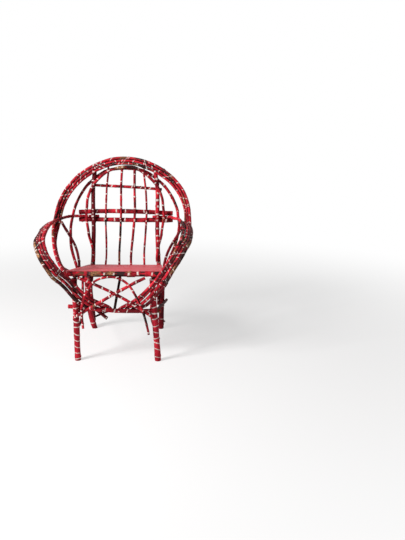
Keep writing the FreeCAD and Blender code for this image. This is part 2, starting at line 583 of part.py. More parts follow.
# Arms: the inner rod first, the others laid beside it.
arms = {}
for side in (LEFT, RIGHT):
    post = posts[side]
    mid_x = side * post_half_span
    upper = upper_rail.at(upper_rail.where(0, mid_x))
    lower = lower_rail.at(lower_rail.where(0, mid_x))
    level = (upper[0].z - upper[2] + lower[0].z + lower[2]) / 2
    crossing = against(post, post.where(2, level), BACK_FRONT * -1, ARM_R + END_GAP)
    start = crossing - vec(side * ARM_BACK_END, 0, -ARM_BACK_RISE)
    level = band_inner.where(2, arm_height - BAND_R, side == RIGHT)
    on_band = against(band_inner, level, vec(-side * 0.55, -0.10, 0.83), ARM_R, vec(side * 0.2, -1, 0.02))
    if side == RIGHT:
        on_band = vec(on_band.x - ARM_RIGHT_SET, on_band.y, on_band.z)
    run = [start, crossing] + [between(crossing, on_band, shares) for shares in ARM_BACK_SHARES] + [on_band]
    on_lip = against(lip, (1 + side * ARM_LIP_SHARE) / 2, vec(0, -0.80, -0.60), ARM_FOOT_R)
    for across, forward, down in pick(side, ARM_LEFT_RUN_SHARES, ARM_RIGHT_RUN_SHARES) + ARM_BOW_SHARES:
        run.append(vec(on_lip.x + (side * arm_half_width - on_lip.x) * across,
                       on_band.y + (bow_front_y - on_band.y) * forward,
                       arm_height + (on_lip.z - arm_height) * down))
    run.append(on_lip)
    rung_half = rail_front_x + FRONT_RUNG_LEFT_OUT
    rung_shares = ARM_RUNG_SHARES[0 if side == LEFT else 1]
    over_rung = []
    behind_rung = []
    for share in rung_shares:
        level = front_rung.where(0, rung_half * (share + side * ARM_OVER_SHARE))
        over_rung.append(against(front_rung, level, vec(0, 0.75, 0.66), ARM_FOOT_R + ARM_OVER_ROOM))
        behind_rung.append(against(front_rung, front_rung.where(0, rung_half * share), vec(0, 1, 0),
                                   ARM_FOOT_R + BOARD_GAP))
    run += [between(on_lip, over_rung[0], shares) for shares in ARM_FOOT_SHARES] + [over_rung[0], behind_rung[0]]
    name = "arm_" + SIDE_NAMES[side] + "_rod_"
    inner = Stick(name + "1", bend(run), ARM_R, ARM_FOOT_R)
    arms[side] = [inner]
    for order in (1, 2, 3):
        run = []
        stop = over_rung[order].z + 2 * ARM_FOOT_R
        for i, point in enumerate(inner.points):
            share = inner.shares[i]
            if share < ARM_START_SHARES[order]:
                continue
            lay, spread = lay_at(share, side)
            ahead = inner.direction(i)
            lay = unit(lay - ahead * lay.dot(ahead))
            place = point + lay * (order * spread * (2 * inner.radii[i] + NAIL_GAP))
            if place.z < stop:
                break
            run.append(place)
        run += [over_rung[order], behind_rung[order]]
        if side == LEFT and order == 3:
            run.append(run[-1] + vec(ARM_TAIL, 0, -ARM_TAIL * ARM_TAIL_DROP_SHARE))
        arms[side].append(Stick(name + str(order + 1), run, ARM_R, ARM_FOOT_R))

# Wide hoop behind the posts, passing behind the left arm down to the sides of the seat.
arm = arms[LEFT][0]
behind_left_arm = against(arm, arm.where(0, WIDE_HOOP_R + ARM_R - wide_hoop_half), vec(0, 1, 0),
                          WIDE_HOOP_R, vec(0, 0.3, 1))
halves = {}
for side in (LEFT, RIGHT):
    post = posts[side]
    level = post.where(2, on_back(0, WIDE_HOOP_RISE * WIDE_HOOP_POST_SHARE, 0).z)
    on_post = against(post, level, BACK_FRONT * -1, WIDE_HOOP_R)
    proud = (on_post - on_back(0, 0, 0)).dot(BACK_FRONT)
    half = [on_back(side * wide_hoop_half * across, WIDE_HOOP_RISE * up, hoop_set - WIDE_HOOP_R)
            for (across, up), hoop_set in zip(WIDE_HOOP_SHARES, (-SPINDLE_3_R, -SPINDLE_3_R, proud * 0.6))]
    half.append(on_post)
    half += [on_back(side * wide_hoop_half * across, WIDE_HOOP_RISE * up, proud)
             for across, up in WIDE_HOOP_SIDE_SHARES]
    behind_arm = vec(side * abs(behind_left_arm.x), behind_left_arm.y, behind_left_arm.z)
    seat_end = seat_side(side, WIDE_HOOP_SEAT_SHARE, WIDE_HOOP_R)
    half.append(behind_arm)
    half += [between(behind_arm, seat_end, shares) for shares in WIDE_HOOP_FOOT_SHARES]
    half.append(seat_end)
    halves[side] = half
apex = on_back(0, WIDE_HOOP_RISE, -SPINDLE_3_R - WIDE_HOOP_R)
wide_hoop = Stick("wide_hoop", bend(list(reversed(halves[LEFT])) + [apex] + halves[RIGHT]), WIDE_HOOP_R, WIDE_HOOP_R)

# Spindles from the back edge of the seat, in front of the rails and the wide hoop.
spindles = []
for i, (shares, radius) in enumerate(zip(SPINDLE_SHARES, (SPINDLE_1_R, SPINDLE_2_R, SPINDLE_3_R, SPINDLE_4_R))):
    across = [post_half_span * share for share in shares[:-1]]
    run = [on_back(across[0], BACK_RISE * SPINDLE_FOOT_SHARE, POST_R - radius),
           on_back(across[1], BACK_RISE * SPINDLE_LOW_SHARE, 0)]
    for rail, x in zip((lower_rail, upper_rail, top_rail, wide_hoop), across[2:]):
        run.append(against(rail, rail.where(0, x), BACK_FRONT, radius))
    top = on_back(across[5], BACK_RISE * shares[6], 0)
    if i in (0, 3):
        run.append(against(band_inner, band_inner.where(0, across[5]), BACK_FRONT * -1, radius))
    else:
        run.append(top)
    spindles.append(Stick("back_spindle_" + str(i + 1), bend(run), radius, radius))

# Narrow hoop in front of the spindles and the posts.
halves = {}
for side in (LEFT, RIGHT):
    post = posts[side]
    level = post.where(2, on_back(0, NARROW_HOOP_RISE * NARROW_HOOP_POST_SHARE, 0).z)
    on_post = against(post, level, BACK_FRONT, NARROW_HOOP_R)
    proud = (on_post - on_back(0, 0, 0)).dot(BACK_FRONT)
    leans = (0.75, 0.90, 1.00)
    half = [on_back(side * narrow_hoop_half * across, NARROW_HOOP_RISE * up, proud * lean)
            for (across, up), lean in zip(NARROW_HOOP_SHARES, leans)]
    half.append(on_post)
    half += [on_back(side * narrow_hoop_half * across, NARROW_HOOP_RISE * up, proud)
             for across, up in NARROW_HOOP_SIDE_SHARES]
    level = post.where(2, on_back(0, NARROW_HOOP_RISE * NARROW_HOOP_FOOT_SHARE, 0).z)
    half.append(against(post, level, BACK_FRONT, NARROW_HOOP_R))
    half.append(on_back(side * narrow_hoop_half * NARROW_HOOP_END_SHARES[0],
                        NARROW_HOOP_RISE * NARROW_HOOP_END_SHARES[1], proud))
    halves[side] = half
tops = []
for spindle in (spindles[1], spindles[2]):
    level = spindle.where(2, on_back(0, NARROW_HOOP_RISE * NARROW_HOOP_TOP_SHARE, 0).z)
    tops.append(against(spindle, level, BACK_FRONT, NARROW_HOOP_R))
narrow_hoop = Stick("narrow_hoop", bend(list(reversed(halves[LEFT])) + tops + halves[RIGHT]),
                    NARROW_HOOP_R, NARROW_HOOP_R)

# Loops from the band under the arms, in front of the wide hoop, to the sides of the seat.
for side in (LEFT, RIGHT):
    level = band_inner.where(2, arm_height - LOOP_BAND_DROP, side == RIGHT)
    on_band = against(band_inner, level, vec(-side * 0.75, -0.50, 0.40), LOOP_R + BOARD_GAP, vec(-side * 0.4, 0.5, -0.8))
    level = wide_hoop.where(2, arm_height - LOOP_HOOP_DROP, side == RIGHT)
    on_hoop = against(wide_hoop, level, vec(0, -1, 0), LOOP_R + END_GAP, vec(-side * 0.55, -0.1, -0.8))
    seat_end = seat_side(side, LOOP_SEAT_SHARE, LOOP_R)
    run = [on_band] + [between(on_band, seat_end, shares) for shares in LOOP_SHARES] + [on_hoop]
    run += [between(on_hoop, seat_end, shares) for shares in LOOP_FOOT_SHARES] + [seat_end]
    Stick("arm_loop_" + SIDE_NAMES[side], bend(run), LOOP_R, LOOP_R)

# Front arch over the crossed sticks, its top against the seat's front rod.
half_width = rail_front_x - FRONT_ARCH_INSET
crown = against(lip, 0.5, vec(0, -0.75, -0.66), FRONT_ARCH_R)


def over_stick(stick, share):
    return against(stick, stick.where(0, half_width * share), vec(0, -1, 0), FRONT_ARCH_R + FRONT_ARCH_ROOM,
                   vec(-share, 0, 1))


low_left = over_stick(stick_a, FRONT_ARCH_CROSS_SHARES[0])
high_left = over_stick(stick_b, FRONT_ARCH_CROSS_SHARES[1])
high_right = over_stick(stick_a, FRONT_ARCH_CROSS_SHARES[2])
low_right = over_stick(stick_b, FRONT_ARCH_CROSS_SHARES[3])
front_y = min(low_left.y, high_left.y) - FRONT_ARCH_R
run = [
    vec(half_width * -0.98, low_left.y, low_left.z - FRONT_ARCH_TAIL),
    low_left,
    vec(half_width * -0.93, front_y, mix(low_left, high_left, 0.47).z),
    high_left,
    vec(half_width * -0.44, mix(high_left, crown, 0.6).y, mix(high_left, crown, 0.70).z),
    crown,
    vec(half_width * 0.34, mix(crown, high_right, 0.5).y, mix(crown, high_right, 0.42).z),
    high_right,
    vec(half_width * 0.76, high_right.y, mix(high_right, low_right, 0.52).z),
    low_right,
    vec(half_width * 1.07, low_right.y, low_right.z - FRONT_ARCH_TAIL * 1.45),
]
Stick("front_arch", bend(run), FRONT_ARCH_R, FRONT_ARCH_R)

# Side arches from the front legs up under the side rails and down to the back legs.
for side in (LEFT, RIGHT):
    leg = front_legs[side]
    start = against(leg, leg.where(2, SEAT_FRONT_HEIGHT * SIDE_ARCH_FOOT_SHARE), vec(-side * 0.40, 0.90, 0), SIDE_ARCH_R)
    rung = side_rungs[side]
    by_rung = against(rung, 0.10, vec(-side, 0, -0.15), SIDE_ARCH_R)
    crown = against(side_rails[side], 0.46, SEAT_DOWN, SIDE_ARCH_R + SIDE_ARCH_ROOM)
    leg = back_legs[side]
    end = against(leg, leg.where(2, SEAT_FRONT_HEIGHT * SIDE_ARCH_BACK_SHARE), vec(-side, -0.30, 0), SIDE_ARCH_R)
    run = [start, by_rung, between(by_rung, crown, (0.30, 0.33, 0.66)), crown,
           between(crown, end, (0.30, 0.55, 0.22)), between(crown, end, (0.65, 0.88, 0.58)), end]
    Stick("side_arch_" + SIDE_NAMES[side], bend(run), SIDE_ARCH_R, SIDE_ARCH_R)

# Low arch behind the tails of the posts.
behind = vec(0, 1, 0)
left = against(posts[LEFT], posts[LEFT].where(2, POST_TAIL_Z + BACK_ARCH_LEFT_UP), behind, BACK_ARCH_R)
right = against(posts[RIGHT], posts[RIGHT].where(2, POST_TAIL_Z + BACK_ARCH_RIGHT_UP), behind, BACK_ARCH_R)
top = vec(left.x * 0.14, left.y, left.z + BACK_ARCH_RISE)
run = [left - unit(top - left) * BACK_ARCH_TAIL * 0.3, left,
       vec(left.x * 0.55, left.y, left.z + (top.z - left.z) * 0.85), top,
       vec(right.x * 0.45, right.y, right.z + (top.z - right.z) * 0.72), right]
run.append(right + unit(right - run[-2]) * BACK_ARCH_TAIL)
Stick("back_arch", bend(run), BACK_ARCH_R, BACK_ARCH_R)

for stick in STICKS.values():
    SOLIDS[stick.name] = stick.solid()

# The finished frame: origin on the floor under the middle of the whole chair.
box = Part.makeCompound(list(SOLIDS.values())).BoundBox
shift = vec(-(box.XMin + box.XMax) / 2, -(box.YMin + box.YMax) / 2, -box.ZMin)
os.makedirs("parts", exist_ok=True)
for name, solid in SOLIDS.items():
    solid.translate(shift)
    solid.exportStep("parts/" + name + ".step")
print(len(SOLIDS), "nodes", round(box.XLength), round(box.YLength), round(box.ZLength))
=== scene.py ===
"""A rustic armchair of bent twigs with a board seat, painted red with white rings and dabs.

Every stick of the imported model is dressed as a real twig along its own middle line, and
every board as a plank. The chair stands on a pale floor in plain soft light.
"""

import json
import math
import zlib
from collections import namedtuple

import bmesh
import bpy
import numpy as np
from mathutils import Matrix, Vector
from mathutils.kdtree import KDTree


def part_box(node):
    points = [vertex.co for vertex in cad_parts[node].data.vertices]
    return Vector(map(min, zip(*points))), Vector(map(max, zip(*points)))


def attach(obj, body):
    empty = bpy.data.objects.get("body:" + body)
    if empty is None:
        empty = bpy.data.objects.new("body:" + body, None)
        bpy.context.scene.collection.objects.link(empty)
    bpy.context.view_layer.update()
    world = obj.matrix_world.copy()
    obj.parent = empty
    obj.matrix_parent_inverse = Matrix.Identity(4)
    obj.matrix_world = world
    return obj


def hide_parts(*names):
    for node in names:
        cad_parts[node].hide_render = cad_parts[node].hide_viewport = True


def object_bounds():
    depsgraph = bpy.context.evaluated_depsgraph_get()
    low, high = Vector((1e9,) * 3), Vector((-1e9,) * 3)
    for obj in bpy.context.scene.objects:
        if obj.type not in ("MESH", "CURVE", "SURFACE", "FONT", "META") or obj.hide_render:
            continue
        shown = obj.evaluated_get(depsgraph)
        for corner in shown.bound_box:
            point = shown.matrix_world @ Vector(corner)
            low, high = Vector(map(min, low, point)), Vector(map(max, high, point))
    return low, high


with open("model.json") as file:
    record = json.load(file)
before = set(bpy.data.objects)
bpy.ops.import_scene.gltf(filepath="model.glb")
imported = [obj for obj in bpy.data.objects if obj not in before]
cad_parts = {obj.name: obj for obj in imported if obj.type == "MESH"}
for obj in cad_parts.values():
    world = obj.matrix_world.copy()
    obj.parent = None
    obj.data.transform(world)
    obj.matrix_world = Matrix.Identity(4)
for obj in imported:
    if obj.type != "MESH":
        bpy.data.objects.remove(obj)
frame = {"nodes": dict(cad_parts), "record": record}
cad_lo, cad_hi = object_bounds()

MM = 0.001
SLOT_OF = {part["node"]: part["material_slot"] for part in frame["record"]["subparts"]}
BOARD_SLOTS = ("seat_boards", "seat_battens")
STICKS = [node for node in sorted(SLOT_OF) if SLOT_OF[node] not in BOARD_SLOTS]
BOARDS = [node for node in sorted(SLOT_OF) if SLOT_OF[node] in BOARD_SLOTS]


def luck(name):
    """The random draws of one piece, the same in each run."""
    return np.random.default_rng(zlib.crc32(name.encode()))


def new_object(name, data):
    """An object in the scene that shows a mesh, a lamp or a camera."""
    made = bpy.data.objects.new(name, data)
    bpy.context.scene.collection.objects.link(made)
    return made


# ---------------------------------------------------------------- the middle line of a stick

WELD = 0.02 * MM                    # corners of the CAD mesh closer than this are one
FLAT = math.cos(math.radians(1.0))  # faces that turn less than this belong to one flat end
ROUND_AT_MOST = 1.8                 # a round end's longest reach over its shortest
CAP_CORNERS_AT_LEAST = 8
RING_JUMP = 0.25                    # what parts two rings, in mean steps between rings
TWIG_STEP = 4 * MM                  # from one ring of a dressed twig to the next
FINE_STEPS = 16                     # between two rings of the CAD, where a line is smoothed
TIE_DIGITS = 7                      # distances that agree to so many decimals are a tie

CutEnd = namedtuple("CutEnd", "middle normal rim")


def cut_ends(mesh):
    """The two flat, round ends of a stick: middle, outward normal and corners of each."""
    ends, seen = [], set()
    for first in mesh.faces:
        if first in seen:
            continue
        seen.add(first)
        flat, open_faces = [first], [first]
        while open_faces:
            face = open_faces.pop()
            for neighbour in {f for edge in face.edges for f in edge.link_faces} - seen:
                if neighbour.normal.dot(first.normal) > FLAT:
                    seen.add(neighbour)
                    flat.append(neighbour)
                    open_faces.append(neighbour)
        corners = sorted({corner for face in flat for corner in face.verts},
                         key=lambda corner: corner.index)
        middle = sum((corner.co for corner in corners), Vector()) / len(corners)
        reach = [(corner.co - middle).length for corner in corners]
        if len(corners) >= CAP_CORNERS_AT_LEAST and max(reach) < ROUND_AT_MOST * min(reach):
            rim = [corner.index for corner in corners]
            ends.append(CutEnd(middle, first.normal.copy(), rim))
    if len(ends) != 2:
        raise RuntimeError("a stick has two cut ends, and here are %d" % len(ends))
    return ends


def in_order(ends):
    """The ends in a fixed order: left before right, low before high, or back before front."""
    way = ends[1].middle - ends[0].middle
    longest = max(range(3), key=lambda axis: abs(way[axis]))
    wrong = way[longest] > 0 if longest == 1 else way[longest] < 0
    return ends[::-1] if wrong else ends


def share_of_the_way(corners, faces, ends):
    """For each corner of a stick, how far along it lies: 0 at one cut end and 1 at the other.

    It is solved like heat that flows through the skin from one end to the other.
    """
    links = np.zeros((len(corners), len(corners)))
    for turn in range(3):
        a, b, tip = faces[:, turn], faces[:, (turn + 1) % 3], faces[:, (turn + 2) % 3]
        to_a, to_b = corners[a] - corners[tip], corners[b] - corners[tip]
        pull = (to_a * to_b).sum(1) / np.linalg.norm(np.cross(to_a, to_b), axis=1)
        np.add.at(links, (a, b), -pull)
        np.add.at(links, (b, a), -pull)
    np.fill_diagonal(links, -links.sum(1))
    goal = np.zeros(len(corners))
    for level, end in enumerate(ends):
        links[end.rim] = 0
        links[end.rim, end.rim] = 1
        goal[end.rim] = level
    return np.linalg.solve(links, goal)


def directions(line):
    """Unit vectors along a line of points."""
    way = np.gradient(line, axis=0)
    return way / np.linalg.norm(way, axis=1)[:, None]


def stations(node):
    """Middles of a CAD stick's rings, and the radii and planes of its two cut ends."""
    mesh = bmesh.new()
    mesh.from_mesh(frame["nodes"][node].data)
    bmesh.ops.remove_doubles(mesh, verts=mesh.verts, dist=WELD)
    mesh.verts.index_update()
    mesh.normal_update()
    ends = in_order(cut_ends(mesh))
    corners = np.array([corner.co for corner in mesh.verts], float)
    faces = np.array([[corner.index for corner in face.verts] for face in mesh.faces])
    mesh.free()
    share = share_of_the_way(corners, faces, ends)
    order = np.argsort(share)
    sides = len(ends[0].rim)
    jump = RING_JUMP / (len(corners) // sides)
    groups = np.split(order, np.nonzero(np.diff(share[order]) > jump)[0] + 1)
    rings = [np.sort(ring) for ring in groups if len(ring) >= sides]
    middles = np.array([corners[ring].mean(0) for ring in rings])
    middles[0], middles[-1] = ends[0].middle, ends[1].middle
    way = directions(middles)
    round_share = (1 + math.cos(math.pi / sides)) / 2
    radii = []
    for place, end in zip((0, -1), ends):
        spread = np.cross(corners[end.rim] - middles[place], way[place])
        radii.append(np.linalg.norm(spread, axis=1).mean() * round_share)
    return middles, radii, [(np.array(end.middle), np.array(end.normal)) for end in ends]


def smooth_line(points, step):
    """Evenly spaced points on a smooth curve through the given points, and their places on it."""
    gap = np.linalg.norm(np.diff(points, axis=0), axis=1)
    slope = np.diff(points, axis=0) / gap[:, None]
    if len(points) > 2:
        inner = slope[:-1] * gap[1:, None] + slope[1:] * gap[:-1, None]
        inner = inner / (gap[:-1] + gap[1:])[:, None]
        pull = np.vstack([2 * slope[0] - inner[0], inner, 2 * slope[-1] - inner[-1]])
    else:
        pull = np.vstack([slope, slope])
    fine = []
    t = np.linspace(0, 1, FINE_STEPS, endpoint=False)[:, None]
    for i, length in enumerate(gap):
        fine.append(points[i] * (1 + 2 * t) * (1 - t) ** 2
                    + points[i + 1] * t * t * (3 - 2 * t)
                    + length * pull[i] * t * (1 - t) ** 2
                    + length * pull[i + 1] * t * t * (t - 1))
    fine = np.vstack(fine + [points[-1:]])
    along = np.concatenate([[0], np.cumsum(np.linalg.norm(np.diff(fine, axis=0), axis=1))])
    even = np.linspace(0, along[-1], max(2, round(along[-1] / step)) + 1)
    line = np.stack([np.interp(even, along, fine[:, axis]) for axis in range(3)], 1)
    return line, even


def eased(line, rounds):
    """The line with its small kinks drawn smooth and its ends kept."""
    line = line.copy()
    for _ in range(rounds):
        line[1:-1] = (line[:-2] + 2 * line[1:-1] + line[2:]) / 4
    return line


def nearest(line, points):
    """The nearest point of a line to each of the points. Ties fall the same in each run."""
    away = np.linalg.norm(points[:, None] - line[None], axis=2)
    return line[np.round(away, TIE_DIGITS).argmin(1)]


def at_each_point(steps, count):
    """Values that are given at even steps along a stick, at each of its points."""
    return np.interp(np.linspace(0, 1, count), np.linspace(0, 1, len(steps)), steps)


# ---------------------------------------------------------------- sticks as twigs

# Bark makes some sticks thicker than their plain solids, by these factors at even steps
# from one end to the other.
PLUMP = {
    "arm_rods": (1.10, 1.10, 1.12, 1.18, 1.30, 1.25, 1.12, 1.10),
    "hoops": (1.10, 1.10, 1.26, 1.10, 1.10),
    "arm_loops": (1.25,),
    "spindles": (1.22,),
    "back_rails": (1.10,),
    "arches": (1.08,),
    "back_posts": (1.07,),
    "cross_sticks": (1.06,),
    "back_band": (1.04,),
}
EASED_SLOTS = ("arm_loops",)
EASE_ROUNDS = 300


class Twig:
    """The smooth middle line of one stick, with its radii, ways and cut planes."""

    def __init__(self, node):
        middles, radii, self.planes = stations(node)
        self.node = node
        self.line, self.along = smooth_line(middles, TWIG_STEP)
        if SLOT_OF[node] in EASED_SLOTS:
            self.line, self.along = smooth_line(eased(self.line, EASE_ROUNDS), TWIG_STEP)
        count = len(self.line)
        thick = at_each_point(PLUMP.get(SLOT_OF[node], (1.0,)), count)
        self.radii = thick * (radii[0] + (radii[1] - radii[0]) * np.linspace(0, 1, count))
        self.way = directions(self.line)
        self.length = self.along[-1]


TWIGS = {node: Twig(node) for node in STICKS}
LEFT_ARM, RIGHT_ARM = (["arm_%s_rod_%d" % (side, rod) for rod in (1, 2, 3, 4)]
                       for side in ("left", "right"))

# Sticks that lie a little closer to a neighbour than in their plain solids: which sticks, to
# which neighbour, by what share of the gap, in which axes, and where, at even steps.
GATHERED = (
    (LEFT_ARM[:-1], LEFT_ARM[-1], 0.25, (1, 1, 1), (0, 0, 0, 0, 0.4, 1, 1, 0.6, 0)),
    (RIGHT_ARM[:-1], RIGHT_ARM[-1], 0.22, (1, 1, 1), (0, 0, 0, 0, 0.3, 1, 1, 0.5, 0)),
    (["narrow_hoop"], "back_band_inner", 0.16, (1, 0, 1), (0, 0, 0, 0.4, 1, 0.4, 0, 0, 0)),
    (["wide_hoop"], "back_band_inner", 0.30, (1, 0, 1), (0, 0, 0, 0.4, 1, 0.4, 0, 0, 0)),
)
GATHER_EASE_ROUNDS = 4


def gather(nodes, neighbour, amount, axes, steps):
    """Draws sticks closer to their neighbour along a part of their length."""
    for node in nodes:
        twig = TWIGS[node]
        gap = nearest(TWIGS[neighbour].line, twig.line) - twig.line
        pull = amount * at_each_point(steps, len(twig.line))
        moved = twig.line + pull[:, None] * gap * np.array(axes)
        twig.line = eased(moved, GATHER_EASE_ROUNDS)
        twig.way = directions(twig.line)


for places in GATHERED:
    gather(*places)

# ---------------------------------------------------------------- dabs on the nailed crossings

SPARSE = 2                  # of so many points of a line, one is enough to find neighbours
CROSS_GAP = 4 * MM
CROSS_ANGLE = math.radians(24)
CROSS_CLEAR = 12            # sparse points round a crossing in which there is no other
NAIL_SHARE = 0.6            # of the nails have a dab
FAR = 1.0
FRONT_WAY = np.array([0.0, -0.95, 0.3])
NAILS = {node: [] for node in STICKS}


def nail_crossings():
    """Puts the middle of a white dab on the front side of most nailed crossings."""
    draw = luck("nails")
    for i, one in enumerate(STICKS):
        for other in STICKS[i + 1:]:
            a, b = TWIGS[one], TWIGS[other]
            a_line, b_line = a.line[::SPARSE], b.line[::SPARSE]
            away = (np.linalg.norm(a_line[:, None] - b_line[None], axis=2)
                    - a.radii[::SPARSE, None] - b.radii[None, ::SPARSE]).round(TIE_DIGITS)
            while away.min() < CROSS_GAP:
                m, n = np.unravel_index(away.argmin(), away.shape)
                if abs(a.way[SPARSE * m] @ b.way[SPARSE * n]) < math.cos(CROSS_ANGLE):
                    apart = a_line[m] - b_line[n]
                    apart = apart / np.linalg.norm(apart)
                    a_in_front = apart @ FRONT_WAY > 0
                    twig, place, side = (a, m, apart) if a_in_front else (b, n, -apart)
                    if draw.uniform() < NAIL_SHARE:
                        bark = side * twig.radii[SPARSE * place]
                        NAILS[twig.node].append(twig.line[SPARSE * place] + bark)
                away[max(0, m - CROSS_CLEAR):m + CROSS_CLEAR + 1,
                     max(0, n - CROSS_CLEAR):n + CROSS_CLEAR + 1] = FAR


nail_crossings()

# ---------------------------------------------------------------- strokes across a bundle

# White strokes drawn over all rods of a bundle: the rods, then for each stroke its share of
# the way along them and how steeply it slants over the bundle.
STROKES = (
    (("back_band_inner", "back_band_middle", "back_band_outer"),
     ((0.30, 0.9), (0.365, -0.8), (0.43, 0.9), (0.50, -0.9), (0.56, 0.8), (0.63, -0.9),
      (0.74, 0.5), (0.82, -0.6))),
    (LEFT_ARM, ((0.40, 0.5), (0.52, -0.7), (0.60, 0.6), (0.66, -0.5), (0.73, 0.7))),
    (RIGHT_ARM, ((0.36, -0.5), (0.46, 0.6), (0.55, -0.7), (0.64, 0.5), (0.72, -0.6))),
)
STROKE_REACH = 60 * MM
STROKE_HALF = 1.7 * MM


def stroke_planes():
    """For each rod of a bundle, the points and slanting planes of the strokes over it."""
    planes = {}
    for bundle, strokes in STROKES:
        middle, last = TWIGS[bundle[1]], TWIGS[bundle[-1]].line
        for share, slant in strokes:
            place = round(share * (len(middle.line) - 1))
            point = middle.line[place]
            aside = nearest(last, point[None])[0] - point
            normal = middle.way[place] + slant * aside / np.linalg.norm(aside)
            for rod in bundle:
                planes.setdefault(rod, []).append((point, normal / np.linalg.norm(normal)))
    return planes


STROKE_PLANES = stroke_planes()


def to_stroke(node, points):
    """How far each point lies from the nearest stroke that is painted over this stick."""
    away = np.full(len(points), FAR)
    for point, normal in STROKE_PLANES.get(node, ()):
        near = np.linalg.norm(points - point, axis=1) < STROKE_REACH
        away = np.where(near, np.minimum(away, np.abs((points - point) @ normal)), away)
    return away


# ---------------------------------------------------------------- wear

# Places where the paint is worn to brown bark: share along the stick, half length in
# shares, and how worn. The second table has the places that are black: dark bark, and
# painted shade on the centre brace, the back of the left arm's top and the front legs' tops.
WORN_PLACES = {
    "back_band_outer": ((0.17, 0.04, 0.5), (0.50, 0.03, 0.5), (0.62, 0.03, 0.5),
                        (0.83, 0.03, 0.5)),
    "back_band_middle": ((0.30, 0.03, 0.4), (0.72, 0.03, 0.4)),
    "back_band_inner": ((0.24, 0.03, 0.5), (0.53, 0.03, 0.6), (0.80, 0.05, 0.6)),
    "narrow_hoop": ((0.48, 0.03, 0.7), (0.82, 0.04, 0.4)),
    "wide_hoop": ((0.44, 0.03, 0.5), (0.88, 0.03, 0.6)),
    "back_spindle_2": ((0.10, 0.04, 0.5), (0.30, 0.10, 0.7)),
    "seat_front_rod": ((0.16, 0.06, 0.68), (0.32, 0.07, 0.85), (0.45, 0.07, 0.9),
                       (0.52, 0.02, 0.6), (0.66, 0.03, 0.55)),
    "arm_left_rod_3": ((0.36, 0.03, 0.5),),
    "arm_left_rod_4": ((0.34, 0.02, 0.5), (0.45, 0.06, 0.65), (0.60, 0.06, 0.75),
                       (0.66, 0.02, 0.6)),
    "arm_right_rod_1": ((0.50, 0.03, 0.6), (0.60, 0.02, 0.6)),
    "arm_right_rod_2": ((0.52, 0.02, 0.5), (0.66, 0.02, 0.6)),
    "arm_right_rod_3": ((0.58, 0.03, 0.5),),
    "arm_right_rod_4": ((0.45, 0.03, 0.5), (0.62, 0.03, 0.5)),
    "front_cross_stick_a": ((0.30, 0.03, 0.7),),
    "front_rung": ((0.97, 0.04, 0.8),),
}
BLACK_AND_SHADE_PLACES = {
    "back_band_outer": ((0.25, 0.05, 0.5), (0.55, 0.02, 0.5), (0.60, 0.035, 0.55),
                        (0.90, 0.04, 0.55)),
    "back_band_middle": ((0.22, 0.04, 0.6), (0.64, 0.02, 0.5), (0.87, 0.05, 0.6)),
    "back_band_inner": ((0.15, 0.04, 0.5), (0.46, 0.02, 0.5), (0.56, 0.02, 0.7)),
    "narrow_hoop": ((0.44, 0.02, 0.5), (0.53, 0.03, 0.8)),
    "wide_hoop": ((0.30, 0.03, 0.5), (0.52, 0.03, 0.6), (0.72, 0.03, 0.5)),
    "back_spindle_1": ((0.30, 0.03, 0.5), (0.42, 0.06, 0.7)),
    "back_spindle_2": ((0.20, 0.05, 0.7), (0.40, 0.08, 0.8)),
    "back_spindle_4": ((0.33, 0.03, 0.6),),
    "back_rail_top": ((0.05, 0.04, 0.7), (0.40, 0.02, 0.5), (0.95, 0.05, 0.9)),
    "seat_front_rod": ((0.08, 0.02, 0.6), (0.25, 0.02, 0.7), (0.39, 0.012, 0.7),
                       (0.57, 0.05, 0.95), (0.80, 0.03, 0.8), (0.95, 0.035, 0.9)),
    "front_arch": ((0.16, 0.03, 0.6), (0.72, 0.03, 0.8), (0.885, 0.055, 1.1)),
    # the black places near the back of the left arm's top are painted shade as well as dark bark
    "arm_left_rod_1": ((0.24, 0.05, 0.55), (0.45, 0.02, 0.45), (0.66, 0.02, 0.5)),
    "arm_left_rod_2": ((0.22, 0.07, 0.55), (0.70, 0.02, 0.45)),
    "arm_left_rod_3": ((0.14, 0.03, 0.5), (0.25, 0.08, 0.6), (0.58, 0.02, 0.5)),
    "arm_left_rod_4": ((0.15, 0.05, 0.6), (0.28, 0.07, 0.6), (0.37, 0.02, 0.5),
                       (0.54, 0.015, 0.5), (0.70, 0.04, 0.6)),
    "arm_right_rod_1": ((0.41, 0.10, 0.75), (0.56, 0.02, 0.6)),
    "arm_right_rod_2": ((0.40, 0.02, 0.5), (0.60, 0.02, 0.5)),
    "arm_right_rod_3": ((0.34, 0.03, 0.55), (0.48, 0.02, 0.5), (0.66, 0.02, 0.5)),
    "arm_right_rod_4": ((0.36, 0.05, 0.6), (0.54, 0.04, 0.6), (0.72, 0.03, 0.55)),
    "side_arch_left": ((0.7, 0.03, 0.6), (0.95, 0.06, 0.8)),
    "side_arch_right": ((0.93, 0.05, 0.7),),
    # the black at the tops of the front legs is painted shade under the seat's lip
    "front_leg_left": ((0.93, 0.06, 0.6),),
    "front_leg_right": ((0.95, 0.04, 0.5),),
    # the whole centre brace under the seat is painted black as shade
    "centre_brace": ((0.5, 0.6, 1.2),),
}
# A place is full over the inner half of its half length, and gone a third beyond its end.
PLACE_HEIGHT, PLACE_FALL = 1.6, 1.2


def places_along(table, node, share):
    """How strongly the places of a table show along a stick."""
    strength = np.zeros(len(share))
    for place, half, amount in table.get(node, ()):
        near = np.clip(PLACE_HEIGHT - PLACE_FALL * np.abs(share - place) / half, 0, 1)
        strength = np.maximum(strength, amount * near)
    return strength


# ---------------------------------------------------------------- twig bodies

